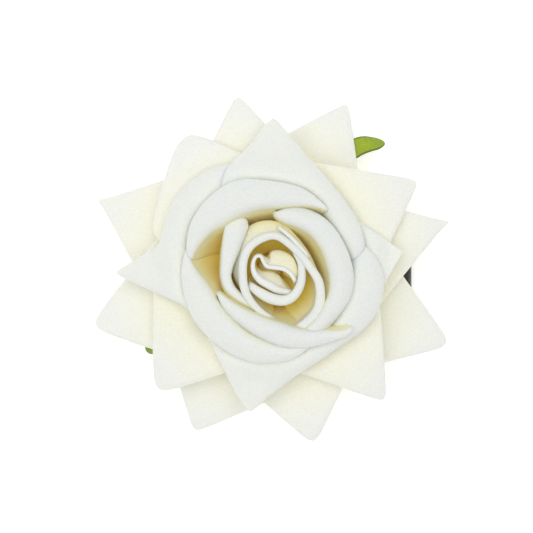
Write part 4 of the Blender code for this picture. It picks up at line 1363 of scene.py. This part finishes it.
def make_flower_glue():
    low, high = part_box("flower_glue")
    wide, middle = high.x, (low.z + high.z) / 2
    half = (high.z - low.z) / 2
    top = [(wide * share, high.z) for share in (0.0, 0.3, 0.6, 0.85)]
    bead = []
    for step in range(7):
        turn = math.pi * step / 6
        bead.append((wide - half + half * math.sin(turn), middle + half * math.cos(turn)))
    under = [(wide * share, low.z) for share in (0.85, 0.6, 0.3, 0.0)]
    puddle = turned("petal_glue", [*top, *bead, *under], 72)
    for vertex in puddle.data.vertices:
        radius = vertex.co.xy.length
        if radius > wide * 0.7:
            around = in_plan(vertex.co)
            vertex.co.xy *= 1 + 0.9 * MM * wander(around, 4.5 * MM, 80.0) / radius
    shade(puddle)
    finish_piece(puddle, cloudy_glue, "hot_glue", "flower", "flower_glue")


def make_clip_glue():
    low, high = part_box("clip_glue")
    centre, extent = (low + high) / 2, high - low
    bpy.ops.object.select_all(action="DESELECT")
    bpy.ops.mesh.primitive_cube_add(size=1.0, location=centre, scale=extent)
    film = bpy.context.active_object
    film.name = "clip_glue_film"
    bpy.ops.object.transform_apply(location=True, rotation=True, scale=True)
    in_edit_mode(film, (bpy.ops.mesh.subdivide, {"number_cuts": 11}))
    for vertex in film.data.vertices:
        out = Vector([(vertex.co[axis] - centre[axis]) / (extent[axis] / 2) for axis in (0, 1)])
        if max(abs(out.x), abs(out.y)) > 0.95:
            rounding = min(1.0, 1.12 / out.length)
            swell = 0.7 * MM * wander(in_plan(vertex.co), 4 * MM, 85.0)
            for axis in (0, 1):
                squared = out[axis] * rounding * (extent[axis] / 2)
                bead = math.copysign(swell, out[axis]) * abs(out[axis]) ** 6
                vertex.co[axis] = centre[axis] + squared + bead
    subdivide(film, 1)
    apply_modifiers(film)
    shade(film)
    finish_piece(film, cloudy_glue, "hot_glue", "flower", "clip_glue")


make_flower_glue()
make_clip_glue()

# %% [markdown]
# ## The clip
#
# Both arms are pressed from sheet steel and dipped in black coating, which rounds every cut
# edge and pools a little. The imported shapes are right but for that, so each arm is a copy with
# its triangles merged back into faces and its edges bevelled. The coating is worn to a brown
# grey where fingers press the lips and where the teeth bite.

# %% Coated arms
SHARP = 35
EDGE_RADIUS = 0.16 * MM


def softened(name, node, width):
    """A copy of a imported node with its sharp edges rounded."""
    piece = bpy.data.objects.new(name, nodes[node].data.copy())
    bpy.context.scene.collection.objects.link(piece)
    together = (bpy.ops.mesh.remove_doubles, {"threshold": WELD})
    faces = (bpy.ops.mesh.dissolve_limited, {"angle_limit": math.radians(1)})
    in_edit_mode(piece, together, faces)
    modifier = piece.modifiers.new("Edge", "BEVEL")
    modifier.width = width
    modifier.segments = 3
    modifier.limit_method = "ANGLE"
    modifier.angle_limit = math.radians(SHARP)
    modifier.use_clamp_overlap = True
    apply_modifiers(piece)
    shade(piece, SHARP)
    return piece


# Where along the clip the coating starts to be worn, and where it is worn most
LEVER_WEAR = (32.1 * MM, 36.1 * MM)
BITE_WEAR = (-14 * MM, -26 * MM)


def black_coating():
    material, tree, shader = new_material(
        "black_coating", 0.33, Specular_IOR_Level=0.5, Coat_Weight=0.25, Coat_Roughness=0.2
    )
    place = object_place(tree)
    parts = add_node(tree, "ShaderNodeSeparateXYZ", {"Vector": place}).outputs
    slow = noise_value(tree, place, 260.0, 3.0)
    orange_peel = noise_value(tree, place, 1400.0, 2.0)
    specks = noise_value(tree, place, 2200.0, 4.0, 0.7)
    lever_end = remap(tree, parts["X"], *LEVER_WEAR)
    bite = remap(tree, parts["X"], *BITE_WEAR, 0.0, 0.6)
    handled = math_node(tree, "MAXIMUM", lever_end, bite)
    rubbed = math_node(tree, "MULTIPLY", handled, remap(tree, specks, 0.56, 0.68, 0.0, 0.9))
    coat = mix_colours(tree, remap(tree, slow, 0.35, 0.7), (0.008, 0.008, 0.009), (0.022, 0.021, 0.02))
    colour = mix_colours(tree, rubbed, coat, (0.16, 0.15, 0.14))
    finish = remap(tree, slow, 0.3, 0.7, 0.26, 0.42)
    dull = math_node(tree, "MULTIPLY_ADD", rubbed, 0.25, finish)
    connect(tree, shader, colour, orange_peel, 0.25, 0.04 * MM, dull)
    return material


coating = black_coating()
upper_arm = softened("upper_arm", "clip_top_arm", EDGE_RADIUS)
finish_piece(upper_arm, coating, "black_paint", "flower", "clip_top_arm")
lower_arm = softened("lower_arm", "clip_lower_arm", EDGE_RADIUS)
finish_piece(lower_arm, coating, "black_paint", "lower_jaw", "clip_lower_arm")

# %% [markdown]
# ## Pivot pin and spring
#
# The spring is drawn wire wound on the pin. One of its legs pushes up the top lever and the
# other pushes down the lower one, so half of the spring goes with each arm: the wire is made
# in two pieces that overlap inside the coil, where the seam can't be seen.

# %% Steel
def drawn_steel(name, shade):
    material, tree, shader = new_material(name, 0.32, 1.0)
    place = object_place(tree)
    streaks = add_node(tree, "ShaderNodeMapping", {"Vector": place, "Scale": (300.0, 3200.0, 300.0)})
    line = noise_value(tree, streaks.outputs["Vector"], 1.0, 3.0, 0.6)
    stain = noise_value(tree, place, 700.0, 3.0)
    dark, light = [tuple(channel * share for channel in shade) for share in (0.6, 1.0)]
    colour = mix_colours(tree, remap(tree, stain, 0.3, 0.6), dark, light)
    connect(tree, shader, colour, line, 0.3, 0.02 * MM, remap(tree, line, 0.3, 0.7, 0.22, 0.45))
    return material


steel = drawn_steel("drawn_steel", (0.5, 0.5, 0.51))
rivet = softened("pivot_rivet", "pivot_pin", 0.1 * MM)
finish_piece(rivet, steel, "spring_steel", "flower", "pivot_pin")

# %% Spring
PIVOT = Vector((10.0, -2.0, 7.2)) * MM
WIRE = 0.3 * MM
COIL = 1.55 * MM
COIL_TURNS = 4.5
HALF_COIL = 1.8 * MM
LEG_END_X = 19.0 * MM
STEPS_A_TURN = 24
LIP_RISE = 0.9 * MM
ARM_THICKNESS = 0.8 * MM
LEG_GAP = 0.5 * MM


def coil_point(turns):
    angle = 2 * math.pi * turns
    y = mix(-HALF_COIL, HALF_COIL, turns / COIL_TURNS)
    return PIVOT + Vector((-COIL * math.sin(angle), y, COIL * math.cos(angle)))


def coil_run(start, end):
    count = round((end - start) * STEPS_A_TURN)
    return [coil_point(mix(start, end, index / count)) for index in range(count + 1)]


def wire(name, points, body):
    curve = bpy.data.curves.new(name, "CURVE")
    curve.dimensions = "3D"
    curve.bevel_depth = WIRE
    curve.bevel_resolution = 3
    curve.use_fill_caps = True
    spline = curve.splines.new("POLY")
    spline.points.add(len(points) - 1)
    for point, spot in zip(spline.points, points):
        point.co = (*spot, 1.0)
    piece = bpy.data.objects.new(name, curve)
    bpy.context.scene.collection.objects.link(piece)
    pick_only(piece)
    bpy.ops.object.convert(target="MESH")
    piece = bpy.context.active_object
    weld(piece)
    shade(piece, 50)
    finish_piece(piece, steel, "spring_steel", body, "torsion_spring")


top_arm_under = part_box("clip_top_arm")[1].z - LIP_RISE - ARM_THICKNESS
upper_leg = Vector((LEG_END_X, PIVOT.y - HALF_COIL, top_arm_under - LEG_GAP))
lower_leg = Vector((LEG_END_X, PIVOT.y + HALF_COIL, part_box("torsion_spring")[0].z + WIRE))
wire("spring_coil", [upper_leg, *coil_run(0.0, 4.25)], "flower")
wire("spring_leg", [*coil_run(4.0, COIL_TURNS), lower_leg], "lower_jaw")
print(f"The legs end {upper_leg.z / MM:.1f} and {lower_leg.z / MM:.1f} mm above the table")

# %% [markdown]
# ## The cloth as it was cut
#
# The area that the sepal star was cut to is printed. The petals of a sheet are shorter in plan than
# they were cut, because pressing bends them down or up.

# %% Cloth sizes
print(f"sepals: made {skin_area(sepals) / MM / MM:.0f} mm2")
